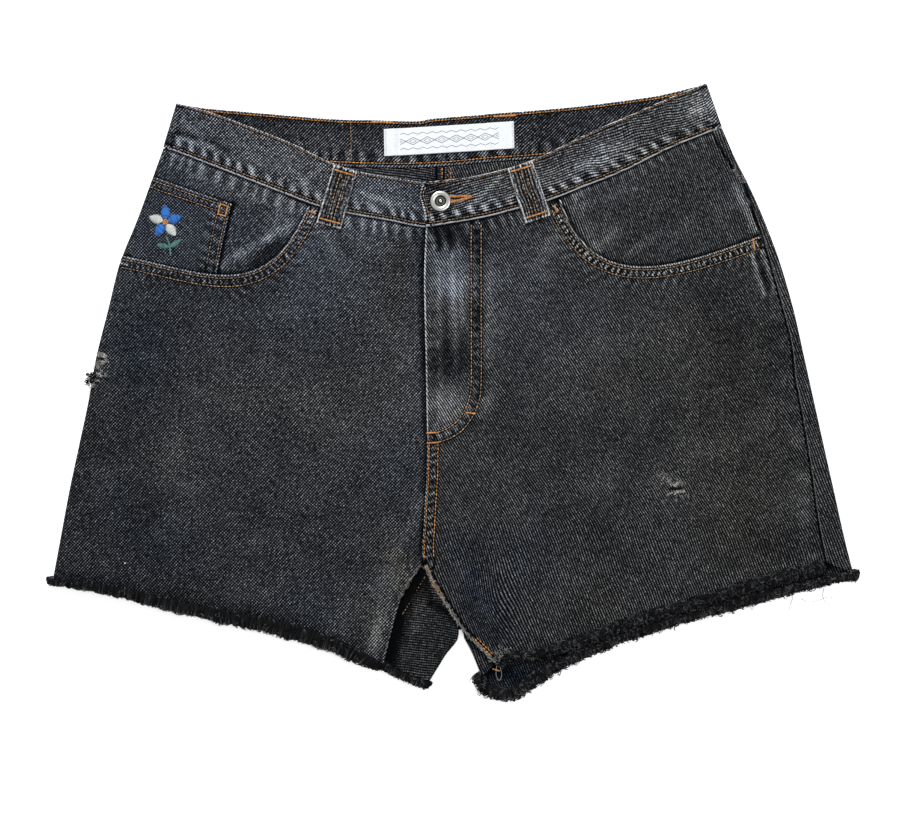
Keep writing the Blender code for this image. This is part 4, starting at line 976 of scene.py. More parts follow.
def facing_patch(side):
    right = side == "right"
    waist_full, _, _, seam = FRONT[side]
    edge = np.array(FACING_EDGE_RIGHT if right else FACING_EDGE_LEFT)
    outward = np.array([-1 if right else 1, 0])
    inset = outward * (SIDE_INSET if right else SEAM_GAP)
    top = waist_full.at(np.linspace(waist_full.share_at(0, edge[0, 0]), 1, 7))
    top[-1] -= inset
    far = seam.at(np.linspace(0, seam.share_at(1, edge[-1, 1]), 7)) - inset
    start = np.array([edge[0, 0], edge[1, 1] + 4])
    inner = Line([top[0], (top[0] + start) / 2, start])
    return patch(Line(top), Line([start, *edge[1:-1], far[-1]]), inner, Line(far))


def coin_patch():
    seam = FRONT["right"][3]
    start, stop = seam.share_at(1, COIN_TOP[0][1]), seam.share_at(1, COIN_LOW_Y)
    outer = seam.at(np.linspace(start, stop, 5)) + (SIDE_INSET, 0)
    outer[0] = COIN_TOP[0]
    first = MOUTH["right"].share_at(0, COIN_INNER[-1][0])
    bottom = [*(MOUTH["right"].at(np.linspace(first, 0.93, 6)) + (0, 0.9)), outer[-1]]
    inner = np.array(COIN_INNER)
    inner[-1] = bottom[0]
    return patch(Line(COIN_TOP[::-1]), Line(bottom), Line(inner), Line(outer))


def quad_patch(corners):
    """A flat patch between four corners, of which u = 0, v = 0 is the first and u = 1, v = 0 the second."""
    a, b, c, d = np.array(corners)
    return patch(Line([a, b]), Line([d, c]), Line([a, d]), Line([b, c]))


def loop_level(side):
    """A front belt loop bows up from its band."""
    a, b, c, d = [np.array(corner) for corner in FRONT_LOOPS[side]]
    top, way = (a + b) / 2, (c + d - a - b) / 2
    def level(x, y):
        share = np.clip(((x - top[0]) * way[0] + (y - top[1]) * way[1]) / (way @ way), 0, 1)
        return BAND_LEVELS[side](x, y) + LAY_GAP + LOOP_CLOTH + LOOP_BOW * np.sin(math.pi * share) ** 0.7
    return level


def coin_level(x, y):
    return facing_level(MOUTH_RIGHT)(x, y) + LAY_GAP + POCKET_CLOTH


LOOP_MIDDLE = {side: Line([np.mean(corners[:2], axis=0), np.mean(corners[2:], axis=0)])
               for side, corners in FRONT_LOOPS.items()}
LOOP_WIDTH = 20.5
COIN = coin_patch()
COIN_EDGE = Line([COIN(u, 0) for u in np.linspace(0, 1, 12)])
COIN_SIDE = Line([COIN(0, v) for v in np.linspace(0, 1, 12)])

# ---- the surfaces with their seams

# puckers below the waist seam, with painted shade just under the waistband's lower edge
WAIST_PUCKER_AND_SHADE = {"pucker": 0.34, "pucker_fade": 0.18, "low": 0, "high": 12, "shade": 0.3, "shade_width": 2.2,
                "rise": -0.3, "rise_to": 2}
WORN_BELOW = {"shade": -0.1, "shade_width": 13}
MOUTH_LOOK = {"rows": (2.9, 9.7), "edge": 0.3, "edge_width": 1.4, "rise": 0.55, "rise_to": 11,
              "round_edge": 0.5, "pucker": 0.2, "pucker_fade": 0.09, "period": 8, "low": 9, "high": 20}
BAND_TOP_EDGE = {"round_edge": 0.8, "edge_width": 1.1, "rows": (1.9,)}
BAND_LOW_EDGE = {"round_edge": 0.8, "edge_width": 1, "rows": (2.6, 3.4), "edge": 0.78, "pucker": 0.55,
                 "pucker_fade": 0.31, "low": 2, "high": 10.5}
LOOP_EDGE = {"round_edge": 0.6, "edge": 0.36, "edge_width": 1.2}
LOOP_END = {"edge": 0.4, "edge_width": 1.5}


def loop_surface(side, seed, fade):
    """A front belt loop's face: two rows of stitches and four worn edges."""
    a, b, c, d = FRONT_LOOPS[side]
    middle = LOOP_MIDDLE[side]
    return Surface(loop_level(side), "band", [
        Seam(middle, rows=(-2.6, 2.6), seed=seed),
        Seam(middle.offset(-LOOP_WIDTH / 2), seed=seed + 1, **LOOP_EDGE),
        Seam(middle.offset(LOOP_WIDTH / 2), side=-1, seed=seed + 2, **LOOP_EDGE),
        Seam(Line([a, b]), seed=82, **LOOP_END),
        Seam(Line([d, c]), seed=83, **LOOP_END)], fade=fade)


# a seam's shade is painted shade: under the waistband and the pocket mouths, beside the fly, the crotch,
# the coin pocket and the side seam, along the inseams and below the hems
SURFACES = {
    "front_right": Surface(front_level, "front", fade=0.002, tint=-0.16, seams=[
        Seam(FRONT["right"][0], period=10.5, skew=0.2, seed=31, **WAIST_PUCKER_AND_SHADE),
        Seam(FRONT["right"][0], seed=37, **WORN_BELOW),
        Seam(MOUTH["right"], ladder=0.32, seed=32, **MOUTH_LOOK),
        Seam(INSEAM["right"], side=-1, edge=0.2, edge_width=1.4, rise=0.4, rise_to=8, round_edge=0.5,
             seed=33, pucker=0.2, pucker_fade=0.05, period=14, low=1, high=9),
        Seam(FLY_EDGE, shade=0.34, shade_width=6.5, seed=34),
        Seam(CROTCH, shade=0.24, shade_width=5, seed=35),
        Seam(FRONT["right"][1], shade=0.1, shade_width=14, seed=36),
    ]),
    "front_left": Surface(front_left_level, "front", warp=leg_warp, fade=-0.027, tint=0.06, seams=[
        Seam(FRONT["left"][0], side=-1, period=9.5, skew=-0.2, seed=41, **WAIST_PUCKER_AND_SHADE),
        Seam(MOUTH["left"], side=-1, ladder=0.5, seed=42, **MOUTH_LOOK),
        Seam(FLY_EDGE, edge=0.56, edge_width=1.1, round_edge=0.5, seed=43, pucker=0.25, pucker_fade=0.06,
             period=26, skew=0.1, low=1, high=12),
        Seam(FLY_J, side=-1, rows=(0, J_WIDTH), ladder=0.22, ladder_period=8, rise=0.3, rise_to=0.6,
             shade=0.1, shade_width=8, seed=44),
        Seam(CROTCH, rows=(1.6, 9), edge=0.34, edge_width=1, ladder=0.34, ladder_period=6.5, rise=0.35,
             rise_to=10, round_edge=0.4, seed=45),
        Seam(INSEAM["left"], rows=(3.6,), edge=0.34, edge_width=1.6, rise=0.35, rise_to=8, round_edge=0.4,
             seed=46),
        Seam(SIDE_SEAM, side=-1, edge=0.05, edge_width=1.2, seed=47, pucker=0.25, pucker_fade=0.07,
             period=24, skew=0.3, low=2, high=12),
    ]),
    "facing_right": Surface(facing_level(MOUTH_RIGHT), "facing", [
        Seam(FRONT["right"][0], period=11, skew=0.1, seed=51, **WAIST_PUCKER_AND_SHADE),
        Seam(FRONT["right"][0], seed=57, **WORN_BELOW),
        Seam(MOUTH["right"], side=-1, seed=56, shade=0.3, shade_width=4, rise=-0.3, rise_to=4),
        Seam(COIN_SIDE, seed=58, shade=0.5, shade_width=3.6),
        Seam(COIN_EDGE, seed=59, shade=0.2, shade_width=3)], fade=0.016, tint=-0.16),
    "facing_left": Surface(facing_level(MOUTH_LEFT), "facing", [
        Seam(FRONT["left"][0], side=-1, period=8, skew=-0.1, seed=52, pucker=0.3, pucker_fade=0.11, low=0,
             high=9, shade=0.3, shade_width=2.6),
        Seam(FRONT["left"][0], seed=60, shade=-0.06, shade_width=9),
        Seam(MOUTH["left"], seed=55, shade=0.34, shade_width=4, rise=-0.3, rise_to=4)], fade=-0.062),
    "coin": Surface(coin_level, "facing", [
        Seam(COIN_EDGE, rows=(3.3, 9), edge=0.26, edge_width=1, ladder=0.22, rise=0.4, rise_to=10,
             round_edge=0.5, seed=53),
        Seam(COIN_SIDE, side=-1, rows=(2.4, 9.5), edge=0.22, edge_width=1.2, round_edge=0.5, seed=54,
             pucker=0.35, pucker_fade=0.16, period=8, skew=0.2, low=2, high=16)], fade=0.01, tint=-0.2),
    "band_right": Surface(band_right_level, "band", [
        Seam(BAND_TOP["right"], edge=0.4, seed=61, **BAND_TOP_EDGE),
        Seam(BAND_LOW["right"], side=-1, period=11.5, skew=-0.5, seed=62, **BAND_LOW_EDGE)],
        fade=0.05, tint=-0.22),
    "band_left": Surface(band_left_level, "band", [
        Seam(BAND_TOP["left"], side=-1, edge=0.42, seed=63, **BAND_TOP_EDGE),
        Seam(BAND_LOW["left"], period=12, skew=0.4, seed=64, **BAND_LOW_EDGE),
        Seam(BUTTON_END, rows=(4.2,), edge=0.56, edge_width=2.2, round_edge=0.7, seed=65)], fade=0.04),
    "loop_right": loop_surface("right", 66, fade=0.04),
    "loop_left": loop_surface("left", 69, fade=0.05),
    "band_back": Surface(back_level, "back", [
        Seam(BACK_BAND_TOP, side=-1, edge=0.42, edge_width=1.2, rows=(2.4,), seed=72),
        Seam(BACK_BAND_LOW, rows=(3.2,), edge=0.3, edge_width=1.2, pucker=0.35, pucker_fade=0.24,
             period=12, skew=0.1, low=2.6, high=13, seed=73),
        Seam(BACK_BAND_TOP, shade=0.1, shade_width=16, seed=86)], fade=-0.1, tint=-0.16),
    "back_right": Surface(back_level, "back", [
        Seam(BACK["right"][2], side=-1, rows=(2.2, 8.4), edge=0.2, edge_width=1.2, seed=74, zone="under"),
        Seam(INSEAM["right"], shade=0.62, shade_width=15, rise=-1.1, rise_to=7, seed=75, zone="top"),
        Seam(INSEAM["right"], shade=0.05, shade_width=90, seed=79, zone="top")]),
    "back_left": Surface(back_level, "back", [
        Seam(BACK["left"][2], edge=0.15, edge_width=1.2, seed=76, zone="under"),
        Seam(SIDE_SEAM, shade=0.36, shade_width=2.2, seed=77, zone="top"),
        Seam(INSEAM["left"], side=-1, shade=0.25, shade_width=7, rise=-0.8, rise_to=5, seed=78, zone="top"),
        Seam(FRONT["left"][1], shade=0.4, shade_width=16, seed=80, zone="under")],
        fade=-0.01),
}

# flat width and length of what shows of each piece
CUTS = {
    "front": (310, 372),
    "facing": (175, 145),
    "coin": (86, 82),
    "band": (258, 39),
    "band_back": (510, 39),
    "front_loop": (21, 54),
    "yoke": (330, 90),
    "back": (400, 400),
    "back_pocket": (142, 154),
    "back_loop": (18, 52),
    "label": (108.5, 22.8),
}

# how the denim of each piece is woven: columns angle, pitch, wave, checks, contrast, grain, as in denim()
WEAVES = {
    "front_right": (48, 1.95, 0.08, 0.42, 0.4, 1.2),
    "front_left": (122, 1.9, 0.2, 0.22, 0.4, 1),
    "facing_right": (48, 1.9, 0.15, 0.3, 0.39, 1.3),
    "facing_left": (112, 1.8, 0.25, 0.12, 0.41, 1),
    "coin": (46, 1.9, 0.25, 0.5, 0.44, 1),
    "band_right": (46, 1.95, 0.12, 0.45, 0.51, 1.4),
    "band_left": (16, 2.1, 0.5, 0.25, 0.38, 1.4),
    "band_back": (46, 1.95, 0.25, 0.22, 0.49, 1.4),
    "loop_right": (74, 3.4, 0.5, 0.22, 0.2, 1.8),
    "loop_left": (108, 2.6, 0.4, 0.12, 0.3, 1.5),
    "back_right": (172, 2, 0.25, 0.22, 0.3, 1),
    "back_left": (112, 2, 0.25, 0.22, 0.4, 1),
    "back_pocket": (48, 2, 0.25, 0.22, 0.4, 1),
    "back_loop": (80, 2, 0.25, 0.22, 0.4, 1),
}

# yarns: dark and light colour
YARNS = {
    "tan": ((0.12, 0.075, 0.047), (0.6, 0.41, 0.27)),
    "orange": ((0.26, 0.1, 0.028), (0.8, 0.38, 0.13)),
    "dark": ((0.002, 0.002, 0.003), (0.01, 0.01, 0.012)),
    "under": ((0.16, 0.08, 0.035), (0.5, 0.29, 0.14)),
    "loose": ((0.01, 0.009, 0.008), (0.7, 0.68, 0.64)),
    "label": ((0.45, 0.46, 0.47), (0.85, 0.86, 0.87)),
    "blue": ((0.02, 0.08, 0.3), (0.06, 0.24, 0.68)),
    "white": ((0.4, 0.42, 0.42), (0.74, 0.75, 0.73)),
    "amber": ((0.35, 0.13, 0.03), (0.7, 0.33, 0.1)),
    "green": ((0.05, 0.13, 0.12), (0.14, 0.3, 0.27)),
    "hem": ((0.0005, 0.0006, 0.0012), (0.19, 0.195, 0.205)),
}


# ---- all pieces in order

def main():
    rng = np.random.default_rng(SEED)
    sewn = {name: Bundle() for name in ("tan", "orange", "dark", "under", "loose")}
    make_fronts()
    make_facings()
    make_bands()
    make_back_band()
    make_loops()
    make_backs()
    make_under_pieces(sewn["under"], rng)
    sew_front(sewn, rng)
    fray_front(sewn, rng)
    make_label(rng)
    make_flower(rng)
    make_button()
    make_fringes(rng)
    for name, bundle in sewn.items():
        bundle.build("thread_" + name, yarn("thread_" + name, *YARNS[name]),
                     "denim_back" if name == "under" else "denim_front")
    make_stage()
    make_lights()
    make_camera()


# ---- panels

FRONT_COLUMNS, FINE_ROWS, FRONT_ROWS = 168, 68, 96
FINE_STRETCH = 0.3          # the share of a front, from its waist, with the finer rows


def make_fronts():
    for side in SIDES:
        right = side == "right"
        name = "front_" + side
        points = patch(*FRONT[side])
        fine, coarse = np.linspace(0, FINE_STRETCH, FINE_ROWS), np.linspace(FINE_STRETCH, 1, FRONT_ROWS)
        v = np.concatenate([fine, coarse[1:]])
        xy = points(np.linspace(0, FRONT_LAST if right else 1, FRONT_COLUMNS)[None, :], v[:, None])
        keep = trim(xy, MOUTH[side], 1 if right else -1)
        height, values = SURFACES[name].read(xy)
        xyz = raised(xy, height)
        if right:
            xyz, values, keep = curl_side(xyz, values, keep, points, v)
        material = denim(f"cloth_{name}_denim", SURFACES[name], *WEAVES[name])
        shell("cloth_" + name, xyz, values, CLOTH, material, "denim_front", keep, node=name,
              cut=CUTS["front"])


CURL_COLUMNS = 8
CURL_GAP = 0.55             # half the seam where two curls meet at a side
CURL_END = math.acos(CURL_GAP / FOLD_RADIUS)
NEAR_SIDE = 0.9             # a share of a patch's width, from which the way out at its side is taken


def flat_level(x, y):
    """The floor that the part lies on."""
    return 0 * x


def curled(edge, outward, angles, low, high):
    """Points of a fold in section: angle 0 on the floor, pi on top, between the two levels."""
    reach = (np.sin(angles) - 1)[None, :, None] * FOLD_RADIUS
    ring = edge[:, None] + outward[:, None] * reach
    x, y = ring[..., 0], ring[..., 1]
    base = low(x, y)
    return raised(ring, base + (high(x, y) - base) * (1 - np.cos(angles)) / 2)


def curl_side(xyz, values, keep, points, v):
    """Adds the columns by which the right front turns down at the side fold."""
    edge = points(1, v)
    outward = unit(edge - points(NEAR_SIDE, v))
    angles = np.linspace(math.pi, math.pi - CURL_END, CURL_COLUMNS)
    curl = curled(edge, outward, angles, flat_level, front_level)

    def longer(rows):
        return np.concatenate([rows, np.repeat(rows[:, -1:], CURL_COLUMNS, axis=1)], axis=1)
    values = {key: longer(value) for key, value in values.items()}
    return np.concatenate([xyz, curl], axis=1), values, longer(keep)


FACING_GRID, COIN_GRID, LOOP_GRID = (100, 74), (60, 56), (22, 46)  # points across and down


def make_facings():
    for side in SIDES:
        name = "facing_" + side
        panel("cloth_" + name, spread(facing_patch(side), *FACING_GRID), SURFACES[name], POCKET_CLOTH,
              "denim_facing", "pocket_" + name, CUTS["facing"], WEAVES[name])
    panel("cloth_coin_pocket", spread(COIN, *COIN_GRID), SURFACES["coin"], POCKET_CLOTH, "denim_back",
          "coin_pocket", CUTS["coin"], WEAVES["coin"])


BAND_COLUMNS, BAND_ROWS = 210, 32
END_BOW = ((0, 0.3, 0.7, 1), (0, -3.2, -0.6, 0))  # the curve of the buttonhole end: shares, shifts in x
SHANK_ROOM = 4              # radius of the hole that the button's shank passes through


def make_bands():
    """The two front stretches of the waistband."""
    last = 1 - (BAND_RADIUS + BAND_TOP_LAP + BAND_GAP * 0.2) / FRONT_BAND_LENGTH
    shares, across = np.linspace(0, last, BAND_COLUMNS), np.linspace(0, 1, BAND_ROWS)
    for side in SIDES:
        upper, lower = BAND_TOP[side].at(shares), BAND_LOW[side].at(shares)
        xy = upper[:, None] + (lower - upper)[:, None] * across[None, :, None]
        keep = None
        if side == "left":
            bow = np.interp(across, *END_BOW)
            xy[..., 0] += bow[None] * (1 - ease(shares, 0, 0.06))[:, None]
            middle = (xy[:-1, :-1] + xy[1:, 1:]) / 2
            keep = np.hypot(middle[..., 0] - BUTTON_X, middle[..., 1] - BUTTON_Y) > SHANK_ROOM
        panel("cloth_band_" + side, xy, SURFACES["band_" + side], BAND_CLOTH, "denim_band",
              "waistband_" + side, CUTS["band"], WEAVES["band_" + side], keep)


BACK_BAND_COLUMNS, BACK_BAND_ROWS, BAND_FOLD_RINGS = 300, 24, 12
BACK_BAND_FLAT = (0.012, 0.988)  # shares between which the back band lies flat
FOLD_WEAR = (0.13, 0.17)    # how far the band is faded where it folds to the front, right and left


def make_back_band():
    across = np.linspace(0, 1, BACK_BAND_ROWS)[None, :, None]

    def flat(shares):
        upper, lower = BACK_BAND_TOP.at(shares), BACK_BAND_LOW.at(shares)
        return upper[:, None] + (lower - upper)[:, None] * across
    surface = SURFACES["band_back"]
    xy = flat(np.linspace(*BACK_BAND_FLAT, BACK_BAND_COLUMNS))
    height, values = surface.read(xy)
    first, last = (band_fold(flat(np.array([end]))[0], end) for end in (0, 1))
    xyz = np.concatenate([first[::-1], raised(xy, height), last])
    ring = len(first)
    rows = np.clip(np.arange(len(xyz)) - ring, 0, len(xy) - 1)
    values = {key: value[rows] for key, value in values.items()}
    shown = ease(np.arange(ring), 4, 7)[:, None]
    values["fade"][:ring] += FOLD_WEAR[0] * shown[::-1]
    values["fade"][-ring:] += FOLD_WEAR[1] * shown
    material = denim("cloth_band_back_denim", surface, *WEAVES["band_back"])
    shell("cloth_band_back", xyz, values, BAND_CLOTH, material, "denim_band", faces_down=True,
          node="waistband_back", cut=CUTS["band_back"])


def band_fold(edge, end):
    """The rows of the back band round one side, from the floor to the front band's end."""
    out = left_of(edge[0] - edge[-1]) * (-1 if end else 1)
    rows = []
    for angle in np.linspace(0, math.pi, BAND_FOLD_RINGS):
        ring = edge - out * BAND_RADIUS * (1 - math.sin(angle))
        rows.append(raised(ring, band_right_level(*ring.T) * (1 - math.cos(angle)) / 2))
    last = edge - out * (BAND_RADIUS + BAND_TOP_LAP)
    return np.array([*rows, raised(last, band_right_level(*last.T))])


def make_loops():
    for side in SIDES:
        name = "loop_" + side
        xy = spread(quad_patch(FRONT_LOOPS[side]), *LOOP_GRID)
        panel("cloth_" + name, xy, SURFACES[name], LOOP_CLOTH, "denim_band", "belt_loop_front_" + side,
              CUTS["front_loop"], WEAVES[name])


# ---- backs: columns of the inner wrap, the underside and the side fold

WRAP, LID, CURL = 30, 20, 12   # columns of an inner wrap, of its part on top and of a side fold
WRAP_GROWTH = 6             # a wrap grows from the fork and is whole a sixth of the way to the hem
MAIN_SHARES = np.linspace(0.02, 0.975, 60)
SIDE_COLUMNS = {"right": CURL_COLUMNS, "left": 22}


def wrap_ends(side, share):
    """Where the rows of a back past the fork end on top, beside the fronts."""
    left, right = RISE["left"], RISE["right"]
    crotch, fork = left.share_at(1, CROTCH_Y), left.share_at(1, FORK_Y)
    if side == "left":
        return left.at(fork + (1 - fork) * share) - (WRAP_GAP, 0)
    start = right.share_at(1, CROTCH_Y)
    up = left.at(fork + (crotch - fork) * np.minimum(share * 3, 1)) - (WRAP_GAP, 0)
    down = right.at(start + (1 - start) * np.clip(share * 1.5 - 0.5, 0, 1)) + (WRAP_GAP, 0)
    return np.where(np.asarray(share)[..., None] <= 1 / 3, up, down)


def back_rows(side, near, far, past=None):
    """Rows of a back's outer points; near and far are shares at the seat and at the side, and past
    counts from 0 at the fork to 1 at the hem."""
    points = patch(*BACK[side])
    surface = SURFACES["back_" + side]
    near, far = np.atleast_1d(near)[:, None], np.atleast_1d(far)[:, None]
    shares = np.concatenate([np.linspace(0, MAIN_SHARES[0], WRAP + 1)[:-1], MAIN_SHARES])[None]
    slope = np.clip((shares - MAIN_SHARES[0]) / (MAIN_SHARES[-1] - MAIN_SHARES[0]), 0, 1)[..., None]
    xy = points(shares, near) * (1 - slope) + points(shares, far) * slope
    body = raised(xy, surface.read(xy, "under")[0])
    inner, outer = points(0, near[:, 0]), points(1, far[:, 0])
    outward = unit(outer - points(NEAR_SIDE, far[:, 0]))
    top = np.zeros((len(far), SIDE_COLUMNS[side]), bool)
    if side == "right":
        angles = np.linspace(0, CURL_END, SIDE_COLUMNS[side])
        side_part = curled(outer, outward, angles, back_level, front_level)
    else:
        fold = curled(outer, outward, np.linspace(0, math.pi, CURL), back_level, front_level)
        steps = np.linspace(0, 1, SIDE_COLUMNS[side] - CURL + 1)[None, 1:, None]
        shoulder, seam = fold[:, -1, :2], SIDE_SEAM.at(far[:, 0])
        lid = on_top(surface, shoulder[:, None] + (seam - shoulder)[:, None] * steps)
        side_part = np.concatenate([fold, lid], axis=1)
        top[:, CURL // 2:] = True
    top = np.concatenate([np.zeros(body.shape[:2], bool), top], axis=1)
    if past is not None:
        leg = unit(inner - points(1 - NEAR_SIDE, near[:, 0]))
        bend = curled(inner, leg, np.linspace(math.pi, 0, WRAP - LID), back_level, front_level)
        shoulder, end = bend[:, 0, :2], wrap_ends(side, past)
        steps = np.linspace(0, 1, LID + 1)[None, :-1, None]
        lid = on_top(surface, end[:, None] + (shoulder - end)[:, None] * steps)
        wrapped = np.concatenate([lid, bend], axis=1)
        first = curled(inner[:1], leg[:1], np.linspace(CURL_END, 0, WRAP), back_level, front_level)
        grown = np.clip(past * WRAP_GROWTH, 0, 1)[:, None, None]
        body[:, :WRAP] = first * (1 - grown) + wrapped * grown
        top[:, :LID + (WRAP - LID) // 2] = True
    return np.concatenate([body, side_part], axis=1), top


def on_top(surface, xy):
    """Points of the stretches of a back that show beside the fronts."""
    return raised(xy, surface.read(xy, "top", front_level)[0])


YOKE_ROWS, SEAT_ROWS, PAST_ROWS = 24, 76, 43
BACK_LENGTH = 370


def make_backs():
    for side in SIDES:
        fork = BACK[side][2].share_at(1, FORK_Y)
        yoke, past = np.linspace(0, 1, YOKE_ROWS), np.linspace(0, 1, PAST_ROWS)
        down = np.linspace(SEAM_GAP / BACK_LENGTH, 1, SEAT_ROWS)[:-1]
        surface = SURFACES["back_" + side]
        material = denim(f"cloth_back_{side}_denim", surface, *WEAVES["back_" + side])
        below = fork + (1 - fork) * past
        parts = (back_rows(side, YOKE_IN + (fork - YOKE_IN) * down, YOKE_OUT + (fork - YOKE_OUT) * down),
                 back_rows(side, below, below, past))
        for kind, (xyz, top) in (
                ("yoke", back_rows(side, YOKE_IN * yoke, YOKE_OUT * yoke)),
                ("back", [np.concatenate(pair) for pair in zip(*parts)])):
            name = f"{kind}_{side}"
            under, above = (surface.read(xyz[..., :2], zone)[1] for zone in ("under", "top"))
            values = {key: np.where(top, above[key], under[key]) for key in under}
            shell("cloth_" + name, xyz, values, CLOTH, material, "denim_back", faces_down=True, node=name,
                  cut=CUTS[kind])


def zone_grid(zone, down, wide, shape=lambda across, along: along):
    """A grid of points of a tilted zone, given by its counts down and across."""
    cx, cy, half_width, half_height, tilt = zone
    cos, sin = math.cos(math.radians(tilt)), math.sin(math.radians(tilt))
    across, along = np.linspace(-1, 1, wide)[None, :], np.linspace(1, -1, down)[:, None]
    a, b = np.broadcast_arrays(across * half_width, shape(across, along) * half_height)
    return np.stack([cx + a * cos - b * sin, cy + a * sin + b * cos], axis=-1)


def pocket_point(across, along):
    """Raises the lower corners of a pocket, so that its middle comes to a point."""
    return along + POCKET_POINT * np.maximum(0, -along) * np.abs(across)


POCKET_ROWS, POCKET_COLUMNS, POCKET_HEM_ROW = 56, 52, 6
BACK_LOOP_ROWS, BACK_LOOP_COLUMNS = 26, 10
POCKET_INSETS = (2.5, 9)    # distances of the pockets' two rows of stitches from their edges


def make_under_pieces(thread, rng):
    """Back pockets and back belt loops, which lie on the floor below the backs."""
    under = Surface(lambda x, y: 0.04 * (1 + cloud(x, y, 18, 13)), "back")

    def sew_under(line):
        stitch_row(thread, line, under.height, rng, facing=-1)
    for side, zone in BACK_POCKETS.items():
        name = "back_pocket_" + side
        xy = zone_grid(zone, POCKET_ROWS, POCKET_COLUMNS, pocket_point)
        panel("cloth_" + name, xy, under, POCKET_CLOTH, "denim_back", name, CUTS["back_pocket"],
              WEAVES["back_pocket"], faces_down=True)
        tip = xy[-1, POCKET_COLUMNS // 2]
        for inset in POCKET_INSETS:
            sew_under(inset_line([xy[0, 0], xy[-1, 0], tip, xy[-1, -1], xy[0, -1]], inset))
        sew_under(Line([xy[POCKET_HEM_ROW, 1], xy[POCKET_HEM_ROW, -2]]))
    for name, zone in BACK_LOOPS.items():
        xy = zone_grid(zone, BACK_LOOP_ROWS, BACK_LOOP_COLUMNS)
        panel("cloth_loop_" + name, xy, under, BACK_LOOP_CLOTH, "denim_band", "belt_loop_" + name,
              CUTS["back_loop"], WEAVES["back_loop"], faces_down=True)
        for column in (3, 6):
            sew_under(Line([xy[1, column], xy[-2, column]]))
        for row in (1, -2):
            bartack(thread, xy[row, 1], xy[row, -2], under.height, rng, facing=-1)


def inset_line(corners, inset):
    """A line inside an open run of corners, at a distance from each side."""
    points = np.array(corners)
    normals = left_of(np.diff(points, axis=0))
    normals *= np.sign(np.sum(normals * (points.mean(axis=0) - points[:-1]), axis=1))[:, None]
    before, after = np.vstack([normals[:1], normals]), np.vstack([normals, normals[-1:]])
    share = inset / (1 + np.sum(before * after, axis=1))
    return Line(points + (before + after) * share[:, None], steps=1)


# ---- sewing

MOUTH_SEWN = {"start": 0.02, "stop": 0.985, "tone": (0, 0.75)}
INSEAM_SEWN = {"start": 0.73, "stop": 0.93, "tone": (0.3, 1)}
TACKS = {  # the ends of the bar tacks on each front
    "left": (((-21.7, -35), (-12.5, -34.6)), ((-21.7, -43.4), (-12, -42.8)), ((10.5, -18), (18.8, -19)),
             ((84.5, 153.2), (86.5, 148)), ((249, 126), (250.5, 117))),
    "right": (((-119.5, 149), (-114, 147)), ((-107, 143), (-109, 137))),
}
COIN_BOX = ((0.04, 0.05), (0.13, 0.05), (0.13, 0.19), (0.04, 0.19))  # the box of tacks at its inner corner
BUTTONHOLE = ((14.3, 161.2), (8, 161.2), (1, 161), (-2.2, 161.2), (-2.6, 156.6), (0.6, 156.9), (7, 158.4),
              (14, 160.2), (15.2, 160.8))
BACK_TACKS = (((-67, 223.5), (-50, 223.3)), ((34, 228), (52, 229)), ((-206, 231.5), (-200, 231)))


def sew(sewn, rng, rows):
    """Topstitching: yarn, surface, line, distances of its rows from the line, and looks."""
    for colour, surface, line, offsets, looks in rows:
        for offset in offsets:
            stitch_row(sewn[colour], line.offset(offset), SURFACES[surface].height, rng, **looks)


def tack(bundle, rng, surface, pairs, **looks):
    for first, last in pairs:
        bartack(bundle, first, last, SURFACES[surface].height, rng, **looks)


def sew_front(sewn, rng):
    sew(sewn, rng, (
        ("tan", "front_right", MOUTH["right"], (2.9, 9.7), MOUTH_SEWN),
        ("tan", "front_left", MOUTH["left"], (-2.9, -9.7), MOUTH_SEWN),
        ("tan", "front_left", FLY_J, (0, -J_WIDTH), {}),
        ("orange", "front_left", CROTCH, (1.6, 9), {"stop": 0.97}),
        ("orange", "front_left", INSEAM["left"], (2.6, 4.6), INSEAM_SEWN),
    ))
    for side in ("left", "right"):
        tack(sewn["orange"], rng, "front_" + side, TACKS[side])
    sew(sewn, rng, (
        ("tan", "coin", COIN_EDGE, (3.3, 9), {"tone": (0, 0.7)}),
        ("tan", "coin", COIN_SIDE, (-2.4, -9.5), {"stop": 0.9, "tone": (0, 0.7)}),
    ))
    box = [COIN(u, v) for u, v in COIN_BOX]
    tack(sewn["orange"], rng, "coin", zip(box, box[1:] + box[:1]), width=1.1)
    for side, sign in (("right", 1), ("left", -1)):
        band, loop = "band_" + side, "loop_" + side
        sew(sewn, rng, (
            ("tan", band, BAND_TOP[side], (sign * 1.9,), {"start": 0.01, "stop": 0.97, "tone": (0, 0.4)}),
            ("tan", band, BAND_LOW[side], (-sign * 3,), {"start": 0.01, "stop": 0.97, "tone": (0, 0.45)}),
            ("tan", loop, LOOP_MIDDLE[side], (-2.6, 2.6), {"start": 0.05, "stop": 0.95}),
        ))
        points = quad_patch(FRONT_LOOPS[side])
        ends = [(points(0.1, v), points(0.9, v)) for v in (0.075, 0.915)]
        tack(sewn["orange"], rng, loop, ends, width=1.3)
    sew(sewn, rng, (("tan", "band_left", BUTTON_END, (4.2,), {"start": 0.08, "stop": 0.92}),))
    sew_buttonhole(sewn, rng)
    sew_back_band(sewn["orange"], rng)


def sew_buttonhole(sewn, rng):
    height = SURFACES["band_left"].height
    satin(sewn["orange"], Line(BUTTONHOLE), 2.3, height, rng, pitch=0.75, radius=0.36, lift=0.3)
    # a black thread along the buttonhole's slit paints the shade in its opening
    slit = np.array(((-3, 158.8), (13.6, 160.7)))
    stitches(sewn["dark"], slit[:1], slit[1:], height, rng, radius=0.55, lift=0)


def inner_face(surface, cloth):
    """Height of the inner face of a layer that lies on the floor."""
    return lambda xy: SURFACES[surface].height(xy) + cloth


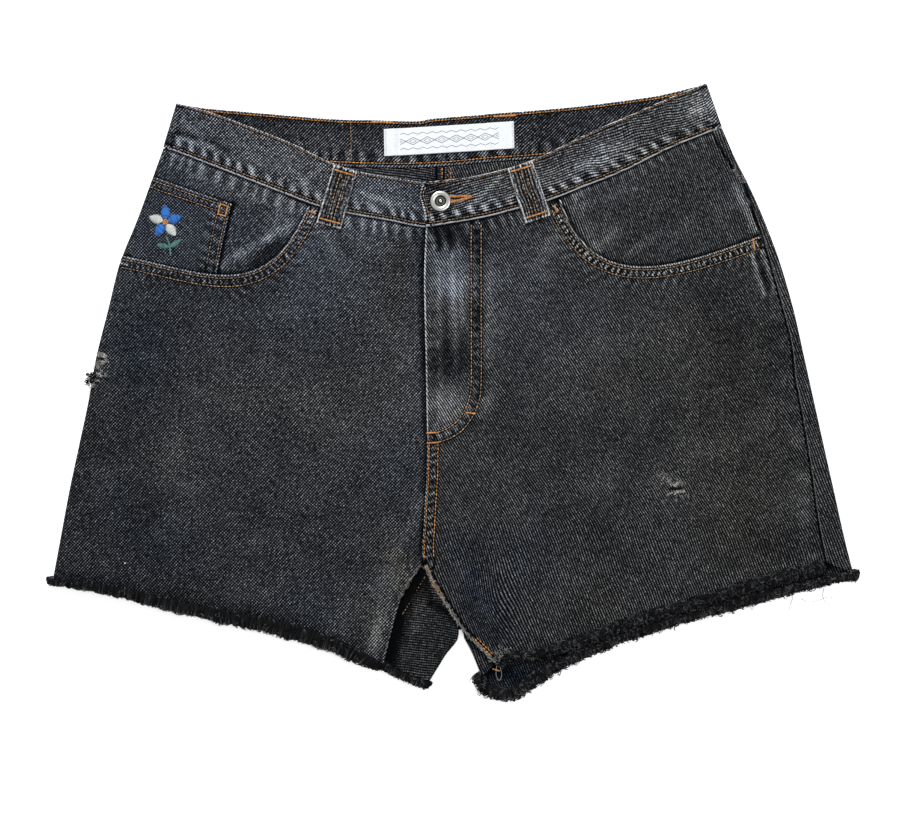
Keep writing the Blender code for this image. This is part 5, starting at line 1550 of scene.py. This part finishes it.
INSIDE_BAND, INSIDE_BACK = inner_face("band_back", BAND_CLOTH), inner_face("back_right", CLOTH)


def sew_back_band(orange, rng):
    """The sewing that shows on the inner side of the back, below the open waist."""
    top, low = BACK_BAND_TOP.offset(-2.2, count=200), BACK_BAND_LOW.offset(3.2, count=200)
    stitch_row(orange, top, INSIDE_BAND, rng, start=0.01, stop=0.99, pitch=2.7, length=2.3)
    stitch_row(orange, low, INSIDE_BAND, rng, start=0.03, stop=0.97)
    for first, last in BACK_TACKS:
        bartack(orange, first, last, INSIDE_BAND, rng)
    for x in (-9, -1.8):
        stitch_row(orange, Line([(x, 186), (x - 0.4, 160)]), INSIDE_BACK, rng)


# ---- frayed seams, worn holes and loose threads

def kinks(rng, count, rings, low, high):
    """Bent threads about a point: a share along each, and the way it leads in two directions."""
    t = np.linspace(0, 1, rings)[None]
    turn, bend, size = (rng.uniform(a, b, (count, 1)) for a, b in ((0, TAU), (0.7, 1.6), (low, high)))
    bow, run = np.sin(bend * math.pi * t), 1.7 * (t - 0.5)
    along = size * (np.cos(turn) * bow + np.sin(turn) * run)
    return t, along, size * (np.sin(turn) * bow - np.cos(turn) * run)


FRAY_RINGS = 6


def fray(bundle, line, height, rng, count, spread, size=(0.7, 1.9), tone=(0.1, 1), start=0, stop=1,
         radius=0.3, lift=0.7):
    """Short bent threads scattered about a line."""
    t, along, aside = kinks(rng, count, FRAY_RINGS, *size)
    middle = line.at(rng.uniform(start, stop, count))[:, None] + rng.normal(0, spread / 2, (count, 1, 2))
    flat = middle + np.stack([along, aside], axis=-1)
    z = height(flat) + rng.uniform(0.1, lift, (count, 1)) * np.sin(math.pi * t)
    radii = radius * rng.uniform(0.6, 1.2, (count, 1)) * (1 - 0.4 * t)
    bundle.add(tubes(raised(flat, z), radii), tube_faces(FRAY_RINGS, 3), rng.uniform(*tone, count))


def scatter(sewn, rng, height, rows):
    """Frayed threads: yarn, the line that they lie about, count, spread and looks."""
    for colour, line, count, spread, looks in rows:
        line = line if isinstance(line, Line) else Line(line)
        fray(sewn[colour], line, height, rng, count, spread, **looks)


def strand(bundle, points, height, radius=0.2, tone=0.5, lift=0.3):
    """One loose thread through flat points."""
    line = Line(points)
    flat = line.at(np.linspace(0, 1, max(8, int(line.length))))
    path = raised(flat, height(flat) + lift)[None]
    bundle.add(tubes(path, np.full(path.shape[:2], radius), 4), tube_faces(path.shape[1], 4), tone)


def hole(sewn, x, y, half_width, half_height, height, rng, count):
    """A worn hole: a dark slot of painted shade laid on the uncut cloth, with light threads beside and
    across it.
    """
    ends = np.array([(x - half_width, y), (x + half_width, y)])

    def width(share):
        return half_height * 2 * np.sqrt(np.clip(share * (1 - share) * 4, 0.1, 1))
    satin(sewn["dark"], Line(ends, steps=1), width, height, rng, pitch=0.7, radius=0.5, lift=0.45)
    for way in (-1, 1):
        rim = Line(ends + (0, way * (half_height + 1.2)), steps=1)
        fray(sewn["loose"], rim, height, rng, count, 1.6, tone=(0.35, 1), lift=0.6)


CORNER_LOOP = ((1.5, -1), (1, -9), (3.6, -13.5), (5.6, -9), (4, -1))  # a loop of thread below the inseam
THIGH_FRAY = (
    ("loose", ((169, -69), (190, -80)), 22, 5, {"tone": (0.4, 1), "radius": 0.24}),
    ("loose", ((177, -88), (197, -84)), 18, 6, {"tone": (0.4, 0.9), "radius": 0.24}),
    ("loose", ((168, -60), (206, -96)), 46, 26, {"size": (0.3, 0.6), "tone": (0.25, 0.6), "radius": 0.26}),
)
SIDE_HOLES = ((-290.8, 26.7, 1.6, 1.2), (-295, 10.8, 1.8, 1.2), (-300, 10.6, 1.2, 1))
SIDE_FRAY = (
    ("loose", ((-297, 31), (-289, 29), (-287.5, 24)), 22, 1.6, {"tone": (0.25, 0.8), "radius": 0.34}),
    ("loose", ((-297, 24), (-290, 12)), 26, 3.4, {"tone": (0.15, 0.7), "radius": 0.34}),
    ("dark", ((-301, 14), (-302.5, 6)), 40, 3, {"tone": (0.2, 1), "radius": 0.6, "lift": 1.2}),
    ("loose", ((-301.5, 14), (-302.5, 5), (-296, 4)), 20, 2,
     {"tone": (0.1, 0.6), "radius": 0.34, "lift": 1.2}),
)
SEAT_END = -196             # the seat's dark strand runs down to here
HEM_THREADS = (
    ((309, -164), (308, -171), (311, -176.5), (316.5, -178.5), (318.5, -175), (313.5, -171.5), (306, -174),
     (296, -176), (290, -173)),
    ((281, -166), (283, -172), (281, -178), (280, -183.5)),
    ((246, -178), (249.5, -182.5), (250, -178.5)),
)


def fray_front(sewn, rng):
    left, right = SURFACES["front_left"].height, SURFACES["front_right"].height
    loose, dark, tan = sewn["loose"], sewn["dark"], sewn["tan"]
    inseam = INSEAM["left"]
    corner = inseam.at(1)
    scatter(sewn, rng, left, (
        ("loose", inseam.offset(0.5), 110, 1, {"size": (0.6, 1.5), "tone": (0.12, 0.7), "lift": 0.5}),
        ("loose", inseam.offset(1.7), 70, 1, {"size": (0.6, 1.5), "tone": (0.06, 0.4), "lift": 0.5}),
        ("tan", inseam.offset(0.4), 60, 2.4, {"tone": (0.15, 0.9), "stop": 0.34}),
    ))
    fray(loose, INSEAM["right"].offset(-0.6), right, rng, 40, 1, tone=(0.05, 0.3), stop=0.35)
    fray(loose, Line(corner + ((1, 4), (7, 14))), left, rng, 46, 5, tone=(0.05, 0.5), lift=1.6)
    strand(loose, corner + CORNER_LOOP, level_face(flat_level, 5.4), radius=0.23, tone=0.38)
    hole(sewn, 185.5, -81, 5, 1.8, left, rng, 12)
    scatter(sewn, rng, left, THIGH_FRAY)
    for x, y, half_width, half_height in SIDE_HOLES:
        hole(sewn, x, y, half_width, half_height, right, rng, 5)
    scatter(sewn, rng, right, SIDE_FRAY)
    speck = np.array(((-273.1, -143.3), (-271.8, -143.1)))
    stitches(loose, speck[:1], speck[1:], right, rng, radius=0.7, tone=(1, 1))
    worn = Line(SIDE_SEAM.at(np.array((0.098, 0.135))) + ((0, 0), (1, 0)))
    fray(loose, worn, left, rng, 44, 2.2, tone=(0.12, 0.5), lift=1.4)
    fray(loose, Line([(36, -253), (53, -256)]), level_face(flat_level), rng, 12, 2.6, tone=(0.6, 1), lift=2)
    bartack(sewn["orange"], (33, -230.8), (38.5, -232.6), level_face(flat_level, 5.2), rng, width=0.9,
            tone=(0.4, 0.9))
    stitch_row(tan, Line([(-23, -154), (-42, -186)]), level_face(front_level, -0.6), rng, tone=(0, 0.4))
    stitch_row(tan, Line([(-85.3, 226.5), (-84.6, 191)]), INSIDE_BAND, rng, tone=(0, 0.5))
    seat = [point for point in SEAT if point[1] > SEAT_END]
    below_band = BACK_BAND_LOW.offset(-0.35, start=0.02, stop=0.98, count=60).points
    # black strands in the gaps of the seat seam and below the back band are painted shade in these seams
    strand(dark, seat, level_face(back_level, 0.5), radius=0.55, tone=0.6, lift=0)
    strand(dark, below_band, level_face(back_level, 0.4), radius=0.45, tone=0.6, lift=0)
    stitch_row(loose, SIDE_SEAM.offset(1.7, start=0.2, stop=1), level_face(front_level), rng, pitch=2.4,
               length=2.2, radius=0.26, tone=(0.1, 0.34))
    for points in HEM_THREADS:
        strand(dark, points, level_face(flat_level), radius=0.17, tone=0.9, lift=0.4)


def level_face(level, rise=0):
    """The height of a level, or of a face above it, at flat points."""
    return lambda xy: level(xy[..., 0], xy[..., 1]) + rise


# ---- label, flower and button

LABEL_WIDE, LABEL_TALL = 108, 22.4


def make_label(rng):
    points = quad_patch(LABEL_CORNERS)

    def height(xy):
        return INSIDE_BAND(xy) + LABEL_CLOTH + 0.25 + 0.15 * cloud(xy[..., 0], xy[..., 1], 14, 81)
    u, v = np.linspace(0, 1, 110)[None, :], np.linspace(0, 1, 24)[:, None]
    xy = points(u, v)
    values = {"along": u * LABEL_WIDE, "down": v * LABEL_TALL}
    shell("cloth_label", raised(xy, height(xy)), values, LABEL_CLOTH, label_tape(), "woven_tape",
          node="label", cut=CUTS["label"])
    bundle = Bundle()
    for share in (0.012, 0.988):
        end = Line(points(share, np.array([0.04, 0.96])))
        satin(bundle, end, 1.8, height, rng, pitch=0.8, lift=0.1, tone=(0.5, 1))
    bundle.build("thread_label", yarn("thread_label", *YARNS["label"]), "woven_tape")


def label_tape():
    """White tape with a woven border of its own: zigzags, a row of lozenges and fine dashes."""
    finish = Finish("label_tape", 0.72, Specular_IOR_Level=0.3, Sheen_Weight=0.15)
    along, down = finish.attribute("along"), finish.attribute("down")

    def stroke(field, width):
        return field.math("ABSOLUTE").ramp(width, width * 0.45)
    inside = along.ramp(13, 13.6) * along.ramp(95.6, 95)
    zigzag = (along / 4).math("PINGPONG", 1) * 1.6
    lines = stroke(down - 4.2 - zigzag, 0.34).math("MAXIMUM", stroke(down - 16.6 - zigzag, 0.34))
    lozenge = (along / 6).math("PINGPONG", 1) * 3 + (down - 11.2).math("ABSOLUTE")
    lines = lines.math("MAXIMUM", stroke(lozenge - 3, 0.4))
    lines = lines.math("MAXIMUM", stroke(lozenge - 1.4, 0.34) * 0.8)
    ribs = (down * (TAU / 0.55)).math("SINE") * 0.5 + (along * (TAU / 0.8)).math("SINE") * 0.3
    speck = finish.noise(along * 0.9, down * 0.9, 2, detail=3)
    colour = finish.colours(speck + ribs * 0.06, ((0.25, 0.6, 0.63, 0.66), (0.75, 0.82, 0.85, 0.88)))
    finish.paint(finish.mix(lines * inside * (speck * 0.5 + 0.65), colour, (0.035, 0.037, 0.045, 1)))
    finish.relief(ribs * 0.05 + speck * 0.08 - lines * inside * 0.04)
    return finish.material


FLOWER_X, FLOWER_Y = -238.5, 140
PETALS, WHITE_PETALS, PETAL_REACH = 5, (1, 3), (2.6, 13.6)
STEM, LEAF_TIPS = ((1, -13), (3.2, -19), (4, -27.5)), ((13, -15), (-7.5, -19))


def petal_width(share):
    return 1.6 + 7 * np.sin(math.pi * share ** 0.85) ** 0.8


def leaf_width(share):
    return 0.8 + 4.4 * np.sin(math.pi * share)


def around(centre, radius, degrees):
    """The point at a radius and an angle about a centre."""
    turn = math.radians(degrees)
    return centre + radius * np.array([math.cos(turn), math.sin(turn)])


def make_flower(rng):
    """A small embroidered flower on the coin pocket: satin petals, a ring, a stem and two leaves."""
    height = SURFACES["coin"].height
    centre = np.array([FLOWER_X, FLOWER_Y])
    bundles = {name: Bundle() for name in ("blue", "white", "amber", "green")}
    for k in range(PETALS):
        angle = 90 + 360 * k / PETALS
        spine = Line([around(centre, reach, angle) for reach in PETAL_REACH], steps=1)
        bundle = bundles["white" if k in WHITE_PETALS else "blue"]
        satin(bundle, spine, petal_width, height, rng, pitch=0.5, lift=0.25)
    for reach in (0.6, 1.9):
        ring = Line([around(centre, reach, angle) for angle in np.linspace(0, 360, 17)], steps=1)
        satin(bundles["amber"], ring, 1.3, height, rng, pitch=0.45, lift=0.45)
    stem = Line(centre + STEM)
    satin(bundles["green"], stem, 1.6, height, rng, pitch=0.5, lift=0.2)
    for tip in LEAF_TIPS:
        leaf = Line([stem.at(0.55), centre + tip], steps=1)
        satin(bundles["green"], leaf, leaf_width, height, rng, pitch=0.5, lift=0.2)
    for name, bundle in bundles.items():
        bundle.build("flower_" + name, yarn("flower_" + name, *YARNS[name], roughness=0.5), "denim_back")


BUTTON_PROFILE = ((0, 2.45), (0.7, 2.42), (1.25, 2.2), (1.55, 1.7), (1.7, 1.25), (2.2, 1.02), (3.2, 0.98),
                  (4, 1.05), (4.35, 1.35), (4.7, 1.75), (5.2, 2.02), (5.9, 2.22), (6.6, 2.3), (7.3, 2.24),
                  (7.9, 2), (8.35, 1.6), (8.5, 1.15), (8.35, 0.75), (7.8, 0.52), (3.4, 0.5), (3, 0.3))
SHANK_RADIUS, BUTTON_PIT, BUTTON_SIDES = 3, 0.02, 72


def make_button():
    """A turned jeans button with a rolled rim, a dark recess and a nub, on its shank."""
    place = np.array(BUTTON_X), np.array(BUTTON_Y)
    head = float(band_left_level(*place))
    base = float(band_right_level(*place)) + SEAM_GAP - head
    profile = Line((*BUTTON_PROFILE, (SHANK_RADIUS, base), (0, base)), steps=3).points
    radius = np.repeat(np.maximum(profile[:, :1], BUTTON_PIT), BUTTON_SIDES, axis=1)
    level = np.repeat(profile[:, 1:], BUTTON_SIDES, axis=1)
    turn = np.arange(BUTTON_SIDES) * TAU / BUTTON_SIDES
    ring = np.stack([np.cos(turn), np.sin(turn)], axis=-1)
    points = raised(ring * radius[..., None] + (BUTTON_X, BUTTON_Y), head + level)
    faces = grid_faces(*level.shape, closed=True)[:, (0, 3, 2, 1)]
    made = build_mesh("button_head", points.reshape(-1, 3), faces, button_metal(), "button_metal",
                      {"radius": radius, "level": level})
    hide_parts("button")


NICKEL_STOPS = ((0.05, 0.02, 0.02, 0.018), (0.55, 0.36, 0.35, 0.33), (0.95, 0.8, 0.8, 0.77))


def button_metal():
    finish = Finish("button_nickel", 0.32, Metallic=1)
    radius, level = finish.attribute("radius"), finish.attribute("level")
    x, y, z = finish.place()
    cloudy = finish.noise(x * 0.7, y * 0.7, z * 0.7, detail=4, rough=0.65)
    scratch = finish.noise(x * 0.35 + y * 2.4, y * 0.35 - x * 2.4, 0, detail=3)
    # grime and painted shade darken the recess round the nub and the rim's outer edge, where the metal
    # turns from the light
    grime_and_shade = (radius.bell(1.8, 0.6) + radius.bell(4.2, 0.7) * 0.9 + radius.bell(3, 1.3) * 0.95
             + radius.ramp(7.9, 8.6) * 0.6 + radius.bell(5.6, 0.35) * 0.25)
    tone = 1 - grime_and_shade * (cloudy * 0.5 + 0.5) + (cloudy - 0.5) * 0.35
    finish.paint(finish.colours(tone, NICKEL_STOPS))
    finish.rough(cloudy * 0.25 + scratch * 0.2 + grime_and_shade * 0.2 + 0.08)
    finish.relief(cloudy * 0.05 + scratch * 0.04)
    return finish.material


def yarn(name, dark, light, roughness=0.8, lift=0.1):
    """Cotton yarn: its tone attribute runs from dark to light, with twisted strands."""
    finish = Finish(name, roughness, Specular_IOR_Level=0.08)
    x, y, z = finish.place()
    twist = finish.noise(x * 3.2 + y * 1.4, y * 3.2 - x * 1.4, z * 3, detail=2)
    tone = finish.attribute("tone") * 0.8 + (twist - 0.5) * 0.7 + lift
    finish.paint(finish.colours(tone, ((0, *dark), (1, *light))))
    finish.relief(twist * 0.12)
    return finish.material


# ---- frayed hems: rolls of curled yarn

# widths: share along the hem and half width of the roll; past: how far its middle lies outside the hem, as
# a share of that; tall and level: its half height and the height of its middle; combed and curls: yarns for
# each millimetre; stray: how far the tips stray; ends: how far the roll runs past both ends of the hem

HEMS = {
    "front_right": {"widths": ((0, 4.2), (0.1, 6.2), (0.3, 6.8), (0.6, 5.4), (0.85, 4), (0.97, 3.4),
                               (1, 3.7)),
                    "past": 0.92, "tall": 3.1, "level": 4, "combed": 1.15, "curls": 1, "stray": 1,
                    "ends": (1, 5)},
    "front_left": {"widths": ((0, 3.4), (0.12, 4.4), (0.3, 5), (0.8, 5.2), (1, 5.4)),
                   "past": 0.85, "tall": 3, "level": 4.1, "combed": 0.3, "curls": 4.6, "stray": 1.3,
                   "ends": (0, 0)},
    "back_right": {"widths": ((0, 4.6), (0.2, 4.2), (0.9, 3.6), (1, 4)),
                   "past": 0.75, "tall": 2.1, "level": 2.4, "combed": 0.9, "curls": 1, "stray": 0.8,
                   "ends": (2.5, 4)},
    "back_left": {"widths": ((0, 5.2), (0.12, 5.6), (0.3, 5.2), (0.8, 4.4), (0.97, 3.4), (1, 4.4)),
                  "past": 0.55, "tall": 2.2, "level": 2.5, "combed": 0.6, "curls": 4.4, "stray": 2.2,
                  "ends": (2.5, 5.5)},
}
FRINGE_ENDS = ("_inner", "_outer")
ROLL_TIP = 4.5              # a roll narrows over this length at its ends
ROLL_FLOOR = 0.35           # and keeps this far above the floor


class Roll:
    """The frayed roll of one hem: its points for a share along the hem, an angle and a reach."""

    def __init__(self, place):
        layer, side = place.split("_")
        self.hem = FRONT[side][1] if layer == "front" else BACK[side][1]
        self.sign = 1 if side == "right" else -1
        self.__dict__.update(HEMS[place])
        self.low, self.high = -self.ends[0] / self.hem.length, 1 + self.ends[1] / self.hem.length
        self.seed = sum(map(ord, place))

    def point(self, share, angle, reach=1):
        """angle 0 points out of the hem, pi / 2 up and pi back over the cloth."""
        share, angle, reach = np.broadcast_arrays(np.clip(share, self.low, self.high), angle, reach)
        kept = np.clip(share, 0, 1)
        way = unit(self.hem.at(np.minimum(kept + 0.01, 1)) - self.hem.at(np.maximum(kept - 0.01, 0)))
        base = self.hem.at(kept) + way * ((share - kept) * self.hem.length)[..., None]
        run = share * self.hem.length
        tip = np.clip(np.minimum(share - self.low, self.high - share) * self.hem.length / ROLL_TIP, 0, 1)
        lumps = 1 + 0.07 * cloud(run, angle * 3, 11, self.seed) + 0.05 * cloud(
            run, angle * 3, 3.4, self.seed + 1)
        lumps = lumps * np.sqrt(1 - 0.9 * (1 - tip) ** 2)
        half = np.interp(kept, *zip(*self.widths)) * lumps
        flat = base + left_of(way) * (self.sign * half * (self.past + reach * np.cos(angle)))[..., None]
        return raised(flat, np.maximum(self.level + self.tall * lumps * reach * np.sin(angle), ROLL_FLOOR))


def make_fringes(rng):
    material = yarn("frayed_yarn_looks", *YARNS["hem"], lift=-0.04)
    for place in HEMS:
        roll, bundle = Roll(place), Bundle()
        core(bundle, roll)
        comb(bundle, roll, rng)
        curl_up(bundle, roll, rng)
        made = bundle.build("yarn_hem_" + place, material, "frayed_yarn")
        stretches = ("",) if place == "front_left" else FRINGE_ENDS
        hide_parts(*[f"hem_fringe_{place}{stretch}" for stretch in stretches])


CORE_SIDES, COMB_RINGS, CURL_RINGS = 12, 11, 7


def lay(bundle, roll, share, angle, reach, radii, tone):
    """Adds yarns of three sides along paths on a roll."""
    paths = roll.point(share, angle, reach)
    bundle.add(tubes(paths, radii), tube_faces(paths.shape[1], 3), np.repeat(tone, 3, axis=1))


def core(bundle, roll):
    """The closed inside of a roll."""
    rings = int(roll.hem.length / 2.2)
    share = np.linspace(roll.low, roll.high, rings)[:, None]
    angle = (np.arange(CORE_SIDES) * TAU / CORE_SIDES)[None]
    points = roll.point(share, angle * roll.sign, 0.92).reshape(1, -1, 3)
    # the core's upper half is painted a little lighter than its lower half: painted light from above
    bundle.add(points, tube_faces(rings, CORE_SIDES), 0.02 + 0.04 * (points[..., 2] > roll.level))


def comb(bundle, roll, rng):
    """Yarns that lie side by side over the roll and end below its outer side."""
    count = int(roll.hem.length * roll.combed)
    t = np.linspace(0, 1, COMB_RINGS)[None]
    start = (np.arange(count) + rng.uniform(0, 1, count))[:, None] / count
    start = roll.low + (roll.high - roll.low) * start
    from_angle, to_angle = rng.uniform(2.5, 3, (count, 1)), rng.uniform(-0.9, 0.3, (count, 1))
    angle = from_angle + (to_angle - from_angle) * t
    slant = (rng.normal(0, 1.5, (count, 1)) + 1.5 * cloud(start * roll.hem.length, 0, 11, 95)) * t
    wave = 0.55 * np.sin(rng.uniform(0, TAU, (count, 1)) + TAU * rng.uniform(0.6, 1.5, (count, 1)) * t)
    share = start + (slant + wave) / roll.hem.length
    reach = 1 + 0.05 * rng.normal(0, 1, (count, 1))
    reach = reach + roll.stray * 0.14 * rng.uniform(0, 1, (count, 1)) * ease(t, 0.7, 1)
    radii = 0.62 * (1 - 0.4 * t ** 3) * rng.uniform(0.7, 1.15, (count, 1))
    light = rng.uniform(0, 1, (count, 1)) ** 1.6
    tone = 0.02 + light * (0.12 + 0.75 * ease(t, 0.3, 0.85))
    lay(bundle, roll, share, angle, reach, radii, tone)


def curl_up(bundle, roll, rng):
    """Short loose loops of yarn all over the roll, and some tips that stray from its edge."""
    count = int(roll.hem.length * roll.curls)
    t, along, aside = kinks(rng, count, CURL_RINGS, 0.9, 2.1)
    share = rng.uniform(roll.low, roll.high, (count, 1)) + along / roll.hem.length
    angle = rng.uniform(-0.7, 2.9, (count, 1)) + aside / 5
    stray = (rng.uniform(0, 1, (count, 1)) > 0.8) * rng.uniform(0.05, 0.3, (count, 1)) * roll.stray * t
    reach = 0.98 + rng.uniform(0.05, 0.22, (count, 1)) * np.sin(math.pi * t) + stray * (np.abs(angle) < 0.9)
    radii = 0.44 * (1 - 0.35 * t ** 2) * rng.uniform(0.7, 1.2, (count, 1))
    tone = rng.uniform(0, 1, (count, 1)) ** 2.2 * (0.45 + 0.45 * t) + 0.02
    lay(bundle, roll, share, angle, reach, radii, tone)


# ---- stage, lights and camera

CAMERA_PLACE = (-0.0025, -0.0242, 1.5)  # metres, as are the floor's and the lights' places
LENS, SENSOR = 72, 36
FLOOR_HALF, FLOOR_LEVEL = 3, -0.0013
FLOOR_STOPS = ((0, 0.9, 0.9, 0.9), (1, 0.93, 0.93, 0.93))
WORLD_STRENGTH = 0.42


def make_stage():
    mesh = bpy.data.meshes.new("floor")
    corners = [(x * FLOOR_HALF, y * FLOOR_HALF, 0) for x, y in ((-1, -1), (1, -1), (1, 1), (-1, 1))]
    mesh.from_pydata(corners, [], [(0, 1, 2, 3)])
    floor = add_object("floor", mesh)
    finish = Finish("floor_white", 0.9, Specular_IOR_Level=0.1, Emission_Color=(1, 1, 1, 1),
                    Emission_Strength=0.5)
    x, y, _ = finish.place()
    finish.paint(finish.colours(finish.noise(x * 0.01, y * 0.01), FLOOR_STOPS))
    mesh.materials.append(finish.material)
    floor.location.z = FLOOR_LEVEL


def area_light(name, place, size, power):
    light = bpy.data.lights.new(name, "AREA")
    light.shape, light.size, light.energy = "DISK", size, power
    lamp = add_object(name, light)
    lamp.location = place
    lamp.rotation_euler = (-lamp.location).to_track_quat("-Z", "Y").to_euler()


def make_lights():
    world = bpy.data.worlds.new("studio")
    world.use_nodes = True
    background = world.node_tree.nodes["Background"]
    background.inputs["Color"].default_value = (1, 1, 1, 1)
    background.inputs["Strength"].default_value = WORLD_STRENGTH
    bpy.context.scene.world = world
    area_light("key", (-0.55, 1.75, 1.15), 0.8, 52)
    area_light("fill", (1.2, -0.5, 1.8), 1.6, 16)
    bpy.context.scene.view_settings.view_transform = "Standard"


def make_camera():
    data = bpy.data.cameras.new("camera")
    data.lens, data.sensor_width = LENS, SENSOR
    camera = add_object("camera", data)
    camera.location = CAMERA_PLACE
    bpy.context.scene.camera = camera


main()
